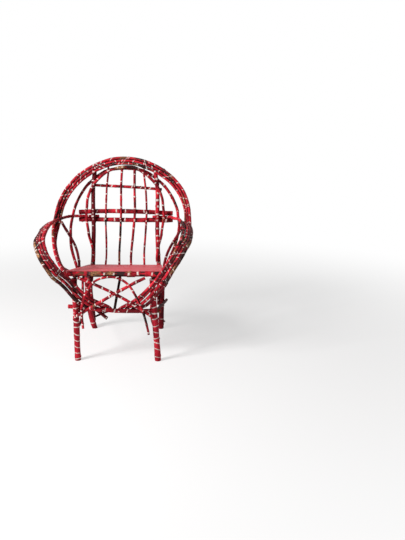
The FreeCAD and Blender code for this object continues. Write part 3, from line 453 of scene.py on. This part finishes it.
THICK_FROM = 9 * MM         # mean radius from which a twig gets more sides
SIDES_THICK, SIDES_THIN = 20, 14
START_DIGITS = 4            # so that a near tie between two axes falls the same in each run
CROOKED = 0.7 * MM          # how far a twig strays from its line
CROOKED_PACE = 70 * MM
UNEVEN = 0.045              # swelling and sinking of the bark, in shares of the radius
UNEVEN_PACE = 45 * MM
LOBES = ((2, 0.022), (3, 0.014))    # how many lobes a section has, and how deep they are
KNOT_GAPS = (55 * MM, 120 * MM)
FIRST_KNOT = (0.2, 0.9)     # its place, in shares of the least gap
KNOT_SWELL = (0.06, 0.13)
KNOT_LENGTH = 4.5 * MM
BUD = (0.14, 0.30)
BUD_LENGTH = 4.0 * MM
BUD_TURN = 0.45
NEXT_BUD = 2.4              # how far round the twig the next bud sits
BUD_STRAY = 0.4
END_EDGE = 1.1 * MM         # bevel of a cut end
END_FADE = 25 * MM          # towards its ends a twig is straight and less uneven
RELIEF_AT_END = 0.3
# how far from a close stick the painted shade between sticks reaches
CONTACT_SHADE_REACH = 9 * MM
SPARE_MARKS = 4
SEEN_WAY = np.array([0.0, -1.0, 0.45])  # white marks face this way, and outwards by a share
OUT_SHARE = 0.5
FACING_LEAST = 0.25
BARK_START_MOST = 40.0      # each twig starts elsewhere in the finishes' patterns
INNER_RING = np.array([0.5, 0.5, 1])    # the shares of a bark place on a cut end's inner ring
HUB = np.array([0, 0, 1])               # and at its middle


def wander(draw, along, pace):
    """A smooth random walk between about -1 and 1 that turns once in each pace."""
    marks = draw.uniform(-1, 1, int(along[-1] / pace) + SPARE_MARKS)
    place = along / pace
    i = place.astype(int)
    t = place - i
    t = t * t * (3 - 2 * t)
    return marks[i] * (1 - t) + marks[i + 1] * t


def spokes(way):
    """Two directions across the line at each point, turning with it as little as they can."""
    start = np.eye(3)[np.argmin(np.round(np.abs(way[0]), START_DIGITS))]
    across = []
    for w in way:
        start = start - w * (start @ w)
        start = start / np.linalg.norm(start)
        across.append(start)
    across = np.array(across)
    return across, np.cross(way, across)


def bark_relief(draw, along, turns):
    """How much the bark swells or sinks round a twig, in shares of its radius."""
    relief = np.repeat((UNEVEN * wander(draw, along, UNEVEN_PACE))[:, None], len(turns), 1)
    for lobes, depth in LOBES:
        size = depth * wander(draw, along, UNEVEN_PACE)
        relief += size[:, None] * np.cos(lobes * turns[None] + draw.uniform(0, 2 * math.pi))
    place = draw.uniform(*FIRST_KNOT) * KNOT_GAPS[0]
    side = draw.uniform(0, 2 * math.pi)
    while place < along[-1]:
        near = np.exp(-((along - place) / KNOT_LENGTH) ** 2)
        relief += (draw.uniform(*KNOT_SWELL) * near)[:, None]
        from_bud = np.angle(np.exp(1j * (turns - side)))
        bud_near = np.exp(-((along - place) / BUD_LENGTH) ** 2)
        bud = bud_near[:, None] * np.exp(-(from_bud / BUD_TURN) ** 2)[None]
        relief += draw.uniform(*BUD) * bud
        place += draw.uniform(*KNOT_GAPS)
        side += NEXT_BUD + draw.uniform(-BUD_STRAY, BUD_STRAY)
    return relief


def twig_body(twig):
    """The rings of points of a twig's bark, and their places in the paint's patterns.

    The places are of two kinds: "bark" has the place across the twig and along it, and
    "paint" has the place along it, how much it faces the viewer and how far aside it lies.
    """
    draw = luck(twig.node)
    line, way, along = twig.line.copy(), twig.way, twig.along
    across, over = spokes(way)
    fade = np.clip(np.minimum(along, twig.length - along) / END_FADE, 0, 1)
    for spoke in (across, over):
        line += spoke * (CROOKED * fade * wander(draw, along, CROOKED_PACE))[:, None]
    sides = SIDES_THICK if twig.radii.mean() > THICK_FROM else SIDES_THIN
    turns = np.arange(sides) * 2 * math.pi / sides
    calm = RELIEF_AT_END + (1 - RELIEF_AT_END) * fade
    relief = bark_relief(draw, along, turns) * calm[:, None]
    reach = twig.radii[:, None] * (1 + relief)
    radial = (across[:, None] * np.cos(turns)[None, :, None]
              + over[:, None] * np.sin(turns)[None, :, None])
    body = line[:, None] + radial * reach[..., None]
    places = np.repeat((along + draw.uniform(1, BARK_START_MOST))[:, None], sides, 1)
    bark = np.stack([reach * np.cos(turns), reach * np.sin(turns), places], 2)
    chair_middle = (cad_lo.x + cad_hi.x) / 2
    facing = SEEN_WAY + np.sign(line[:, :1] - chair_middle) * np.array([[OUT_SHARE, 0, 0]])
    facing = facing - way * (facing * way).sum(1)[:, None]
    facing = facing / np.maximum(np.linalg.norm(facing, axis=1), FACING_LEAST)[:, None]
    seen = (radial * facing[:, None]).sum(2)
    aside = (radial * np.cross(way, facing)[:, None]).sum(2)
    return body, bark, np.stack([places, seen, aside], 2)


def cut_off(twig, body):
    """Cuts a body's first and last ring at the twig's planes, and adds each cut end's rings."""
    rings = []
    for end, (point, normal) in zip((0, -1), twig.planes):
        lean = twig.way[end] @ normal
        to_plane = ((point - body[end]) @ normal) / lean
        edge = body[end] + twig.way[end] * to_plane[:, None]
        body[end] = edge - twig.way[end] * np.sign(lean) * END_EDGE
        edge = edge + (point - edge) * (END_EDGE / twig.radii[end])
        rings += [edge, (edge + point) / 2]
    hubs = np.array([point for point, _ in twig.planes])
    return np.concatenate([body.reshape(-1, 3), *rings, hubs])


def over_the_ends(values, inner=1, hub=1):
    """Values of the bark's rings, with those of each cut end's two rings and then the hubs."""
    rings = [ring for end in (0, -1) for ring in (values[[end]], values[[end]] * inner)]
    hubs = [values[end, :1] * hub for end in (0, -1)]
    return np.concatenate([part.reshape(-1, values.shape[-1]) for part in (values, *rings, *hubs)])


def twig_faces(count, sides):
    """The faces of a twig with so many rings, and 1 for each face on a cut end, else 0."""
    faces, marks = [], []
    for ring in range(0, (count - 1) * sides, sides):
        for i in range(sides):
            j = (i + 1) % sides
            faces.append((ring + i, ring + j, ring + sides + j, ring + sides + i))
            marks.append(0)
    for end, outer in enumerate((0, (count - 1) * sides)):
        rim = (count + 2 * end) * sides
        ring, hub = rim + sides, (count + 4) * sides + end
        for i in range(sides):
            j = (i + 1) % sides
            strip = [(outer + j, outer + i, rim + i, rim + j),
                     (rim + j, rim + i, ring + i, ring + j),
                     (ring + j, ring + i, hub)]
            faces += [face[::-1] for face in strip] if end else strip
            marks += [0, 1, 1]
    return faces, marks


def near_neighbours(node, points):
    """How closely the other sticks lie against these points, from 0 to 1."""
    others = [place for name, twig in TWIGS.items() if name != node
              for place in zip(twig.line[::SPARSE], twig.radii[::SPARSE])]
    tree = KDTree(len(others))
    for i, (middle, _) in enumerate(others):
        tree.insert(middle, i)
    tree.balance()
    close = np.zeros(len(points))
    for i, point in enumerate(points):
        _, nearest, distance = tree.find(point)
        close[i] = 1 - (distance - others[nearest][1]) / CONTACT_SHADE_REACH
    return np.clip(close, 0, 1)


def add_attribute(mesh, name, values):
    """Stores one number or one vector for each corner of a mesh."""
    kind, field = ("FLOAT", "value") if values.ndim == 1 else ("FLOAT_VECTOR", "vector")
    attribute = mesh.attributes.new(name, kind, "POINT")
    attribute.data.foreach_set(field, values.astype(np.float32).ravel())


def twig_mesh(twig):
    """A twig with uneven bark, knots, buds and two cut ends, with what its paint needs."""
    body, bark, paint = twig_body(twig)
    count, sides = body.shape[:2]
    points = cut_off(twig, body)
    faces, marks = twig_faces(count, sides)
    mesh = bpy.data.meshes.new(twig.node)
    mesh.from_pydata(points.tolist(), [], faces)
    mesh.polygons.foreach_set("material_index", marks)
    mesh.polygons.foreach_set("use_smooth", [not mark for mark in marks])
    add_attribute(mesh, "bark", over_the_ends(bark, INNER_RING, HUB))
    add_attribute(mesh, "paint", over_the_ends(paint))
    for name, table in (("worn", WORN_PLACES), ("black_and_shade", BLACK_AND_SHADE_PLACES)):
        strength = places_along(table, twig.node, twig.along / twig.length)
        rings = np.repeat(strength[:, None, None], sides, 1)
        add_attribute(mesh, name, over_the_ends(rings)[:, 0])
    nail = np.full(len(points), FAR)
    for spot in NAILS[twig.node]:
        nail = np.minimum(nail, np.linalg.norm(points - spot, axis=1))
    add_attribute(mesh, "nail", nail)
    add_attribute(mesh, "stroke", to_stroke(twig.node, points))
    # closeness of other sticks, for the painted shade between sticks that lie together
    add_attribute(mesh, "contact_shade", near_neighbours(twig.node, points))
    mesh.update()
    return mesh


# ---------------------------------------------------------------- planks

PLANK_FLAT = math.radians(1)
PLANK_EDGE = 2.2 * MM
PLANK_EDGE_STEPS = 3
PLANK_EDGE_ROUND = 0.6
PLANK_STEP = 12 * MM
PLANK_UNEVEN = 0.35 * MM
PLANK_WAVES = ((19, 31, 1.0), (47, 83, 0.5))    # of its faces: pace along x and y, strength
PLANK_EDGE_WAVE, PLANK_EDGE_SHARE = 37, 0.5     # of its edges: pace, strength
PLANK_PHASES, PLANK_PHASE_MOST = 6, 6


def plank_mesh(node):
    """A board with softened, slightly uneven edges and faces, from a CAD board's corners."""
    source = bmesh.new()
    source.from_mesh(frame["nodes"][node].data)
    bmesh.ops.remove_doubles(source, verts=source.verts, dist=WELD)
    bmesh.ops.dissolve_limit(source, angle_limit=PLANK_FLAT, verts=source.verts,
                             edges=source.edges)
    bmesh.ops.bevel(source, geom=source.edges[:], offset=PLANK_EDGE,
                    segments=PLANK_EDGE_STEPS, profile=PLANK_EDGE_ROUND, affect="EDGES")
    for axis in (0, 1):
        values = [corner.co[axis] for corner in source.verts]
        lo, hi = min(values), max(values)
        for cut in np.arange(lo + PLANK_STEP, hi - PLANK_STEP / 2, PLANK_STEP):
            point, normal = [0, 0, 0], [0, 0, 0]
            point[axis], normal[axis] = cut, 1
            bmesh.ops.bisect_plane(
                source, geom=source.verts[:] + source.edges[:] + source.faces[:],
                plane_co=point, plane_no=normal, dist=WELD)
    phase = luck(node).uniform(0, PLANK_PHASE_MOST, PLANK_PHASES)
    for corner in source.verts:
        x, y, _ = corner.co
        dip = 0
        for i, (x_pace, y_pace, share) in enumerate(PLANK_WAVES):
            x_wave, y_wave = x * x_pace + phase[2 * i], y * y_pace + phase[2 * i + 1]
            dip += share * math.sin(x_wave) * math.sin(y_wave)
        corner.co.z += PLANK_UNEVEN * (dip - 1)
        bend = math.sin(x * PLANK_EDGE_WAVE + phase[4])
        corner.co.y += PLANK_EDGE_SHARE * PLANK_UNEVEN * bend
    mesh = bpy.data.meshes.new(node)
    source.to_mesh(mesh)
    source.free()
    mesh.polygons.foreach_set("use_smooth", [True] * len(mesh.polygons))
    return mesh


# ---------------------------------------------------------------- nodes


def tone(red, green, blue):
    """A colour from its three values of 0 to 255 as seen, as the shader's own numbers."""
    seen = [value / 255 for value in (red, green, blue)]
    linear = [v / 12.92 if v <= 0.04045 else ((v + 0.055) / 1.055) ** 2.4 for v in seen]
    return (*linear, 1.0)


class Wire:
    """A value on its way between nodes. Sums and products of it add Math nodes."""

    def __init__(self, nodes, socket):
        self.nodes = nodes
        self.socket = socket

    def math(self, operation, *terms):
        """A Math node for the given terms, or for this value alone."""
        sockets = dict(enumerate(terms or (self,)))
        return self.nodes.node("ShaderNodeMath", {"operation": operation}, sockets)

    def __add__(self, other):
        return self.math("ADD", self, other)

    def __sub__(self, other):
        return self.math("SUBTRACT", self, other)

    def __rsub__(self, other):
        return self.math("SUBTRACT", other, self)

    def __mul__(self, other):
        return self.math("MULTIPLY", self, other)

    def __truediv__(self, other):
        return self.math("DIVIDE", self, other)

    def __abs__(self):
        return self.math("ABSOLUTE")

    __radd__ = __add__
    __rmul__ = __mul__

    def least(self, other):
        return self.math("MINIMUM", self, other)

    def most(self, other):
        return self.math("MAXIMUM", self, other)

    def rise(self, low, high):
        """0 below low, 1 above high, and smooth between them."""
        return self.nodes.node(
            "ShaderNodeMapRange", {"interpolation_type": "SMOOTHSTEP", "clamp": True},
            {"Value": self, "From Min": low, "From Max": high, "To Min": 0.0, "To Max": 1.0})

    def times(self, x, y, z):
        """A vector stretched by three factors."""
        return self.nodes.node("ShaderNodeVectorMath", {"operation": "MULTIPLY"},
                               {0: self, 1: (x, y, z)})

    def parts(self):
        """The three values of a vector."""
        x = self.nodes.node("ShaderNodeSeparateXYZ", {}, {0: self})
        return x, x.beside("Y"), x.beside("Z")

    def beside(self, output):
        """Another output of the node that this value comes from."""
        return Wire(self.nodes, self.socket.node.outputs[output])


class Nodes:
    """A node tree, with one way to add any node to it."""

    def __init__(self, tree):
        self.tree = tree

    def node(self, kind, settings, sockets, output=0):
        """Any node: its settings first, then the values or links of its sockets."""
        made = self.tree.nodes.new(kind)
        for key, value in settings.items():
            setattr(made, key, value)
        for key, value in sockets.items():
            self.put(value, made.inputs[key])
        return Wire(self, made.outputs[output])

    def put(self, value, socket):
        """Leads a wire into a socket, or sets the socket to a value."""
        if isinstance(value, Wire):
            self.tree.links.new(value.socket, socket)
        else:
            socket.default_value = value

    def seen_by_camera(self):
        """1 for what the camera sees, also mirrored or through glass, and 0 for other light."""
        camera = self.node("ShaderNodeLightPath", {}, {}, "Is Camera Ray")
        glossy, through = camera.beside("Is Glossy Ray"), camera.beside("Is Transmission Ray")
        return (camera + glossy + through).least(1.0)


class Finish(Nodes):
    """One material and the short ways to add to it."""

    MIX_SHARE, MIX_FIRST, MIX_SECOND, MIX_RESULT = 0, 6, 7, 2   # a Mix node's colour sockets

    def __init__(self, name, **fixed):
        self.material = bpy.data.materials.new(name)
        self.material.use_nodes = True
        super().__init__(self.material.node_tree)
        self.shader = self.tree.nodes["Principled BSDF"]
        for key, value in fixed.items():
            self.put(value, self.shader.inputs[key.replace("_", " ")])

    def stored(self, name, output="Fac"):
        """A value of each corner that the mesh stores."""
        return self.node("ShaderNodeAttribute", {"attribute_name": name}, {}, output)

    def place(self):
        """The place of a point, in metres of the whole chair."""
        return self.node("ShaderNodeTexCoord", {}, {}, "Object")

    def noise(self, place, scale, detail=2.0, rough=0.5):
        """Smooth random values in the room, with so many spots to a metre."""
        return self.node("ShaderNodeTexNoise", {},
                         {"Vector": place, "Scale": scale, "Detail": detail, "Roughness": rough})

    def chance(self, number):
        """Three random values that belong to a whole number."""
        return self.node("ShaderNodeTexWhiteNoise", {"noise_dimensions": "1D"},
                         {"W": number}, "Color").parts()

    def mix(self, share, first, second):
        """The first colour, turning into the second with the share."""
        return self.node("ShaderNodeMix", {"data_type": "RGBA"},
                         {self.MIX_SHARE: share, self.MIX_FIRST: first, self.MIX_SECOND: second},
                         self.MIX_RESULT)

    def end(self, color, roughness, height, relief, strength):
        """Leads the colour, the roughness and the bump into the shader."""
        normal = self.node("ShaderNodeBump", {},
                           {"Strength": strength, "Distance": relief, "Height": height})
        for name, wire in (("Base Color", color), ("Roughness", roughness), ("Normal", normal)):
            self.put(wire, self.shader.inputs[name])
        return self.material


# ---------------------------------------------------------------- finishes

WHITE = tone(204, 192, 186)
WHITE_DIRTY = tone(158, 132, 124)
BARK_TAN = tone(184, 130, 88)
BARK_BROWN = tone(104, 66, 44)
# bark blacks, also the near-black of the black places that are painted shade
BARK_BLACK = tone(36, 22, 21)
BLACK_BROWN = tone(66, 28, 27)
# near-black red painted as the shade between sticks that lie close together
PAINTED_CONTACT_SHADE = tone(34, 6, 10)
SOOT = tone(34, 8, 12)
END_DARK = tone(66, 36, 30)
END_LIGHT = tone(128, 84, 62)
END_PAINT = tone(116, 20, 32)
RED = tone(198, 32, 48)
RED_ARM = tone(216, 44, 60)
RED_ARM_DEEP = tone(136, 12, 28)
RED_RING = tone(176, 31, 46)
RED_RING_DEEP = tone(134, 14, 30)
RED_DEEP = tone(96, 6, 18)
RED_DARK = tone(80, 6, 16)
RED_NIGHT = tone(52, 6, 13)

MARK_SOFT = 0.7 * MM        # blur of a painted edge
MARK_RAGGED = 2.4 * MM      # how far its rough brush work strays
STROKE_RAGGED = 2 * MM
NAIL_RAGGED = 3 * MM
NAIL_DAB = 4.2 * MM
MARK_STRAY = 0.35           # how far a mark strays from its even place, in pitches
MARK_LEAST, MARK_VARIES = 0.7, 0.6      # its width, in shares of the mean width
MARK_UPRIGHT = 0.35         # the draw at which a mark doesn't slant
MARK_TURNED = 0.9           # how much further round one side of a mark may reach
MARK_COVER = 0.7            # how unlike the marks are in how far round they reach
MARK_END_RAGGED, MARK_END_SOFT = 0.5, 0.12
MARK_SKIPPED = (0.06, 0.07)             # that share of the marks is missing
OTHER_DRAW = 0.37           # added to a whole number for a second draw
BLACK_HIDES_MARKS = 0.9
WEAR_HIDES_WHITE = 0.8
SPECULAR_TWIG, SPECULAR_END = 0.12, 0.35
RING_PACE = 3200            # yearly rings of a cut end, in turns of a sine over a metre
TWIG_RELIEF, TWIG_BUMP = 0.9 * MM, 0.75
END_RELIEF, END_BUMP = 0.4 * MM, 0.5
BOARD_RELIEF, BOARD_BUMP = 0.5 * MM, 0.5


def white_marks(finish, paint, ragged, coat):
    """White rings or dabs, one to each pitch along the twig, no two of them alike."""
    along, seen, aside = paint
    cell = (along / coat.pitch).math("FLOOR")
    shift, tilt, size = finish.chance(cell)
    reach, _, skip = finish.chance(cell + OTHER_DRAW)
    middle = (cell + 0.5 + (shift - 0.5) * MARK_STRAY) * coat.pitch
    leaning = along + aside * ((tilt - MARK_UPRIGHT) * (2 * coat.slant))
    away = abs(leaning - middle + (ragged - 0.5) * MARK_RAGGED)
    half = (size * MARK_VARIES + MARK_LEAST) * (coat.width / 2)
    band = 1 - (away - half).rise(-MARK_SOFT, MARK_SOFT)
    turned = seen + aside * ((tilt - 0.5) * MARK_TURNED)
    edge = coat.cover + (reach - 0.5) * MARK_COVER
    inside = turned - edge + (ragged - 0.5) * MARK_END_RAGGED
    shown = inside.rise(-MARK_END_SOFT, MARK_END_SOFT)
    return band * shown * skip.rise(*MARK_SKIPPED)


def white_paint(finish, ragged, patches, black_and_shade, coat):
    """How white each place is: marks along the twig, strokes over a bundle, dabs on nails."""
    paint = finish.stored("paint", "Vector").parts()
    white = white_marks(finish, paint, ragged, coat)
    white = white * (1 - black_and_shade.rise(0.2, 0.5) * BLACK_HIDES_MARKS)
    to_stroke_line = finish.stored("stroke") + (ragged - 0.5) * STROKE_RAGGED
    stroke = 1 - to_stroke_line.rise(STROKE_HALF - MARK_SOFT, STROKE_HALF + MARK_SOFT)
    white = white.most(stroke * paint[1].rise(0.0, 0.3))
    nail = 1 - (finish.stored("nail") + (ragged - 0.5) * NAIL_RAGGED).rise(NAIL_DAB - MM, NAIL_DAB)
    white = (nail * coat.nails).most(white)
    return white * (1 - patches.rise(0.60, 0.72) * WEAR_HIDES_WHITE)


def red_paint(finish, bark, broad, streaks, coat):
    """Red of two tones in patches and streaks, with sooty spots."""
    red = finish.mix(broad.rise(0.32, 0.64), coat.lit, coat.deep)
    red = finish.mix(streaks.rise(0.42, 0.70) * 0.6, red, coat.deep)
    spots = finish.noise(bark.times(1, 1, 0.5), scale=210, detail=4.0, rough=0.7)
    return finish.mix(spots.rise(0.54, 0.66) * 0.7, red, SOOT)


def bare_bark(finish, broad, streaks, black_and_shade):
    """Bark where the paint is gone, tan to brown, and nearly black in the black places and painted
    shade.
    """
    brown = finish.mix(broad.rise(0.4, 0.62), BARK_BROWN, BARK_TAN)
    brown = finish.mix(streaks.rise(0.40, 0.62), BARK_BLACK, brown)
    dark = finish.mix(streaks.rise(0.45, 0.75), BARK_BLACK, BLACK_BROWN)
    return finish.mix(black_and_shade.rise(0.1, 0.4), brown, dark)


def twig_finish(name, coat):
    """Old red paint over bark, with white marks, worn places, and painted shade where other sticks
    lie close.
    """
    finish = Finish(name, Specular_IOR_Level=SPECULAR_TWIG)
    bark = finish.stored("bark", "Vector")
    streaks = finish.noise(bark.times(1, 1, 0.12), scale=800, detail=3.0, rough=0.6)
    patches = finish.noise(bark.times(1, 1, 0.3), scale=130, detail=3.0, rough=0.6)
    broad = finish.noise(bark.times(1, 1, 0.6), scale=35)
    ragged = finish.noise(bark, scale=420, rough=0.6)
    # black places, some of them painted shade, strip the paint to near-black bark
    black_and_shade = finish.stored("black_and_shade")
    worn = finish.stored("worn").most(black_and_shade)
    bare = (patches + worn * 0.42 + (broad - 0.5) * 0.25 + coat.worn).rise(0.70, 0.76)
    color = finish.mix(bare, red_paint(finish, bark, broad, streaks, coat),
                       bare_bark(finish, broad, streaks, black_and_shade))
    white = white_paint(finish, ragged, patches, black_and_shade, coat)
    color = finish.mix(white, color,
                       finish.mix(streaks.rise(0.42, 0.8) * 0.6, WHITE, WHITE_DIRTY))
    # painted shade: darker where another stick lies close, less so under white paint
    contact_shade = finish.stored("contact_shade").rise(0.2, 0.9)
    color = finish.mix(contact_shade * (0.96 - white * 0.4) * (0.7 + patches * 0.5), color, PAINTED_CONTACT_SHADE)
    roughness = coat.rough + streaks * 0.16 + bare * 0.2
    height = streaks * 0.45 + ragged * 0.15 + white * 0.35 - bare * 0.35 + patches * 0.4
    return finish.end(color, roughness, height, TWIG_RELIEF, TWIG_BUMP)


def end_finish():
    """A cut end: dark old wood with yearly rings, and paint run over its rim."""
    finish = Finish("cut_end", Specular_IOR_Level=SPECULAR_END)
    bark = finish.stored("bark", "Vector")
    x, y, _ = bark.parts()
    reach = (x * x + y * y).math("SQRT")
    ragged = finish.noise(bark, scale=300, detail=3.0, rough=0.6)
    rings = ((reach + ragged * (0.8 * MM)) * RING_PACE).math("SINE") * 0.5 + 0.5
    color = finish.mix((ragged + reach * 30).rise(0.55, 0.8),
                       finish.mix(rings, END_DARK, END_LIGHT), END_PAINT)
    return finish.end(color, ragged * 0.2 + 0.6, rings * 0.5 + ragged, END_RELIEF, END_BUMP)


def board_finish(name, lit, deep, grey, shine):
    """Old paint rubbed thin on a board, with grain running from side to side."""
    finish = Finish(name, Specular_IOR_Level=shine)
    place = finish.place()
    grain = finish.noise(place.times(0.05, 1, 1), scale=260, detail=4.0, rough=0.65)
    bands = finish.noise(place.times(0.10, 1, 1), scale=42, detail=3.0, rough=0.55)
    clouds = finish.noise(place, scale=11, detail=3.0, rough=0.55)
    specks = finish.noise(place.times(0.4, 1, 1), scale=240, detail=3.0, rough=0.7)
    color = finish.mix(bands.rise(0.30, 0.72), lit, deep)
    color = finish.mix(clouds.rise(0.40, 0.75) * 0.45, color, grey)
    color = finish.mix(grain.rise(0.52, 0.78) * 0.35, color, deep)
    bare = (specks * 0.55 + grain * 0.45).rise(0.655, 0.69)
    color = finish.mix(bare * 0.7, color, BARK_BROWN)
    roughness = 0.46 + clouds * 0.16 + grain * 0.08
    height = grain * 0.7 + bands * 0.5 - bare * 0.4
    return finish.end(color, roughness, height, BOARD_RELIEF, BOARD_BUMP)


# The coat of paint on a twig: light and deep red, pitch and width of the white marks, how far
# a place must face the viewer to have them, how far they slant, how worn the paint is, how
# white the dabs on nails are, and how rough it is.
Coat = namedtuple("Coat", "lit deep pitch width cover slant worn nails rough",
                  defaults=(0.0, 1.0, 0.52))
COATS = {
    "rings_on_red": Coat(RED_RING, RED_RING_DEEP, 28 * MM, 3.6 * MM, -0.7, 5 * MM, -0.05, 0.5),
    "bands_on_red": Coat(RED, RED_DEEP, 46 * MM, 5.0 * MM, 0.3, 4 * MM),
    "close_bands": Coat(RED, RED_DEEP, 33 * MM, 4.6 * MM, 0.3, 3 * MM),
    "slanted_dabs": Coat(RED, RED_RING_DEEP, 44 * MM, 3.8 * MM, 0.45, 6 * MM, 0.03),
    "arm_dabs": Coat(RED_ARM, RED_ARM_DEEP, 46 * MM, 3.6 * MM, 0.55, 5 * MM, 0.01, 0.75),
    "wide_dabs": Coat(RED, RED_DEEP, 52 * MM, 4.2 * MM, 0.4, 2.5 * MM, 0.02, 0.8),
    # on the left back post this deeper red is painted shade from the left arm and band
    "small_dots": Coat(RED_DEEP, RED_DARK, 35 * MM, 4.5 * MM, 0.86, 1 * MM, -0.05, 0.5),
    "large_dots": Coat(RED, RED_DEEP, 32 * MM, 7.5 * MM, 0.80, 1 * MM, -0.02, 0.7),
    "plain_red": Coat(RED_RING, RED_DEEP, 95 * MM, 4 * MM, 0.7, 2 * MM, -0.02, 0.4),
    # on the arm loops this deeper red is painted shade
    "loop_red": Coat(RED_RING_DEEP, RED_DARK, 70 * MM, 4 * MM, 0.5, 2 * MM, 0.0, 0.6),
    "dark_red": Coat(RED_DEEP, RED_NIGHT, 80 * MM, 4 * MM, 0.6, 2 * MM, 0.0, 0.4, 0.65),
    "dark_bark": Coat(RED_DEEP, RED_DARK, 60 * MM, 3.6 * MM, 0.55, 3 * MM, 0.08, 0.6),
    "lip": Coat(RED, RED_DEEP, 50 * MM, 6 * MM, 0.84, 2 * MM, 0.0, 0.8),
}
FINISH_OF_SLOT = {
    "legs": "rings_on_red", "back_posts": "small_dots", "back_band": "slanted_dabs",
    "hoops": "wide_dabs", "spindles": "wide_dabs", "back_rails": "bands_on_red",
    "arm_rods": "arm_dabs", "arm_loops": "loop_red", "rungs": "bands_on_red",
    "cross_sticks": "close_bands", "arches": "close_bands", "seat_rods": "dark_red",
}
FINISH_OF_NODE = {
    "back_leg_left": "plain_red", "back_leg_right": "loop_red", "back_post_right": "large_dots",
    "seat_front_rod": "lip", "side_rung_left": "dark_red", "side_rung_right": "dark_red",
    "centre_brace": "dark_red", "back_arch": "dark_red", "arm_left_rod_4": "dark_bark",
    "arm_right_rod_4": "dark_bark",
}
TWIG_FINISHES = {name: twig_finish(name, coat) for name, coat in COATS.items()}
CUT_END = end_finish()
BOARD_FINISHES = {
    "seat_boards": board_finish("worn_seat_paint", lit=tone(216, 78, 88), deep=tone(194, 54, 66),
                                grey=tone(200, 98, 104), shine=0.45),
    # the battens' near-black is dark bare wood and painted shade under the seat
    "seat_battens": board_finish("dark_batten", lit=tone(58, 30, 30), deep=tone(34, 20, 22),
                                 grey=tone(74, 42, 38), shine=0.12),
}

# ---------------------------------------------------------------- the chair


def set_on_chair(node, mesh, materials):
    """Puts a finished piece in the place of its CAD node."""
    piece = new_object(node + "_dressed", mesh)
    for material in materials:
        mesh.materials.append(material)
    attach(piece, "root")
    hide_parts(node)


for stick in STICKS:
    finish_name = FINISH_OF_NODE.get(stick, FINISH_OF_SLOT[SLOT_OF[stick]])
    set_on_chair(stick, twig_mesh(TWIGS[stick]), [TWIG_FINISHES[finish_name], CUT_END])

for board in BOARDS:
    set_on_chair(board, plank_mesh(board), [BOARD_FINISHES[SLOT_OF[board]]])

# ---------------------------------------------------------------- floor, light and camera

FLOOR_HALF = 9.0
FLOOR_LIGHT = (0.87, 0.855, 0.85, 1)
FLOOR_SHADE = (0.845, 0.825, 0.82, 1)
FLOOR_CLOUDS = 1.3
# The share of plain white in what the camera sees of the floor: near the chair, and fully
# white from the second distance on.
FLOOR_OPEN_SHARE = 0.6
FLOOR_OPEN_FROM = 0.9
FLOOR_OPEN_TO = 2.6
PLAIN_WHITE = (1, 1, 1, 1)
FILL_LIGHT = 0.125


def floor():
    """A pale floor that keeps the chair's shadow and runs out into white."""
    mesh = bpy.data.meshes.new("floor")
    signs = ((-1, -1), (1, -1), (1, 1), (-1, 1))
    corners = [(x * FLOOR_HALF, y * FLOOR_HALF, 0) for x, y in signs]
    mesh.from_pydata(corners, [], [(0, 1, 2, 3)])
    plane = new_object("floor", mesh)
    finish = Finish("pale_floor", Roughness=0.9, Specular_IOR_Level=0.1)
    place = finish.place()
    color = finish.mix(finish.noise(place, FLOOR_CLOUDS), FLOOR_LIGHT, FLOOR_SHADE)
    finish.put(color, finish.shader.inputs["Base Color"])
    x, y, _ = place.parts()
    far = (x * x + y * y).math("SQRT").rise(FLOOR_OPEN_FROM, FLOOR_OPEN_TO)
    share = far * (1 - FLOOR_OPEN_SHARE) + FLOOR_OPEN_SHARE
    glow = finish.node("ShaderNodeEmission", {}, {"Color": PLAIN_WHITE, "Strength": 1.0})
    lit = Wire(finish, finish.shader.outputs["BSDF"])
    both = finish.node("ShaderNodeMixShader", {},
                       {0: finish.seen_by_camera() * share, 1: lit, 2: glow})
    finish.put(both, finish.tree.nodes["Material Output"].inputs["Surface"])
    mesh.materials.append(finish.material)


def surroundings():
    """White all round for the camera, and a plain even fill light."""
    world = bpy.data.worlds.new("pale_room")
    bpy.context.scene.world = world
    world.use_nodes = True
    room = Nodes(world.node_tree)
    sky = room.tree.nodes["Background"]
    room.put(PLAIN_WHITE, sky.inputs["Color"])
    strength = room.seen_by_camera() * (1 - FILL_LIGHT) + FILL_LIGHT
    room.put(strength, sky.inputs["Strength"])


def lamp(name, place, aim, size, power):
    """A soft square lamp that looks at a point."""
    data = bpy.data.lights.new(name, "AREA")
    data.size = size
    data.energy = power
    made = new_object(name, data)
    made.location = place
    made.rotation_euler = (Vector(aim) - Vector(place)).to_track_quat("-Z", "Y").to_euler()


# The camera stands where the photograph was taken from, measured from the middle of the
# seat and the line of the front feet.
PICTURE_LONG_SIDE = 540
FOCAL_PIXELS = 770
SENSOR = 36.0
CAMERA_FROM_SEAT_MIDDLE = 436.0 * MM
CAMERA_BEFORE_FRONT_FEET = 3117.1 * MM
CAMERA_HEIGHT = 1176.4 * MM
CAMERA_DOWN = math.radians(13.95)
CAMERA_LEFT = math.radians(1.2)


def camera():
    """The photograph's viewing point, angle and frame."""
    data = bpy.data.cameras.new("camera")
    data.sensor_width = SENSOR
    data.lens = FOCAL_PIXELS / PICTURE_LONG_SIDE * SENSOR
    made = new_object("camera", data)
    foot = sum(corner.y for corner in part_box("front_leg_left")) / 2
    middle = sum(corner.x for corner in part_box("seat_board_front")) / 2
    made.location = (middle + CAMERA_FROM_SEAT_MIDDLE, foot - CAMERA_BEFORE_FRONT_FEET,
                     CAMERA_HEIGHT)
    made.rotation_euler = (math.pi / 2 - CAMERA_DOWN, 0, CAMERA_LEFT)
    bpy.context.scene.camera = made


floor()
surroundings()
lamp("window", place=(-2.3, -1.9, 2.3), aim=(0, 0, 0.35), size=1.1, power=203)
lamp("room", place=(2.2, -2.4, 1.6), aim=(0, 0, 0.4), size=2.4, power=14)
camera()
bpy.context.scene.view_settings.view_transform = "Standard"
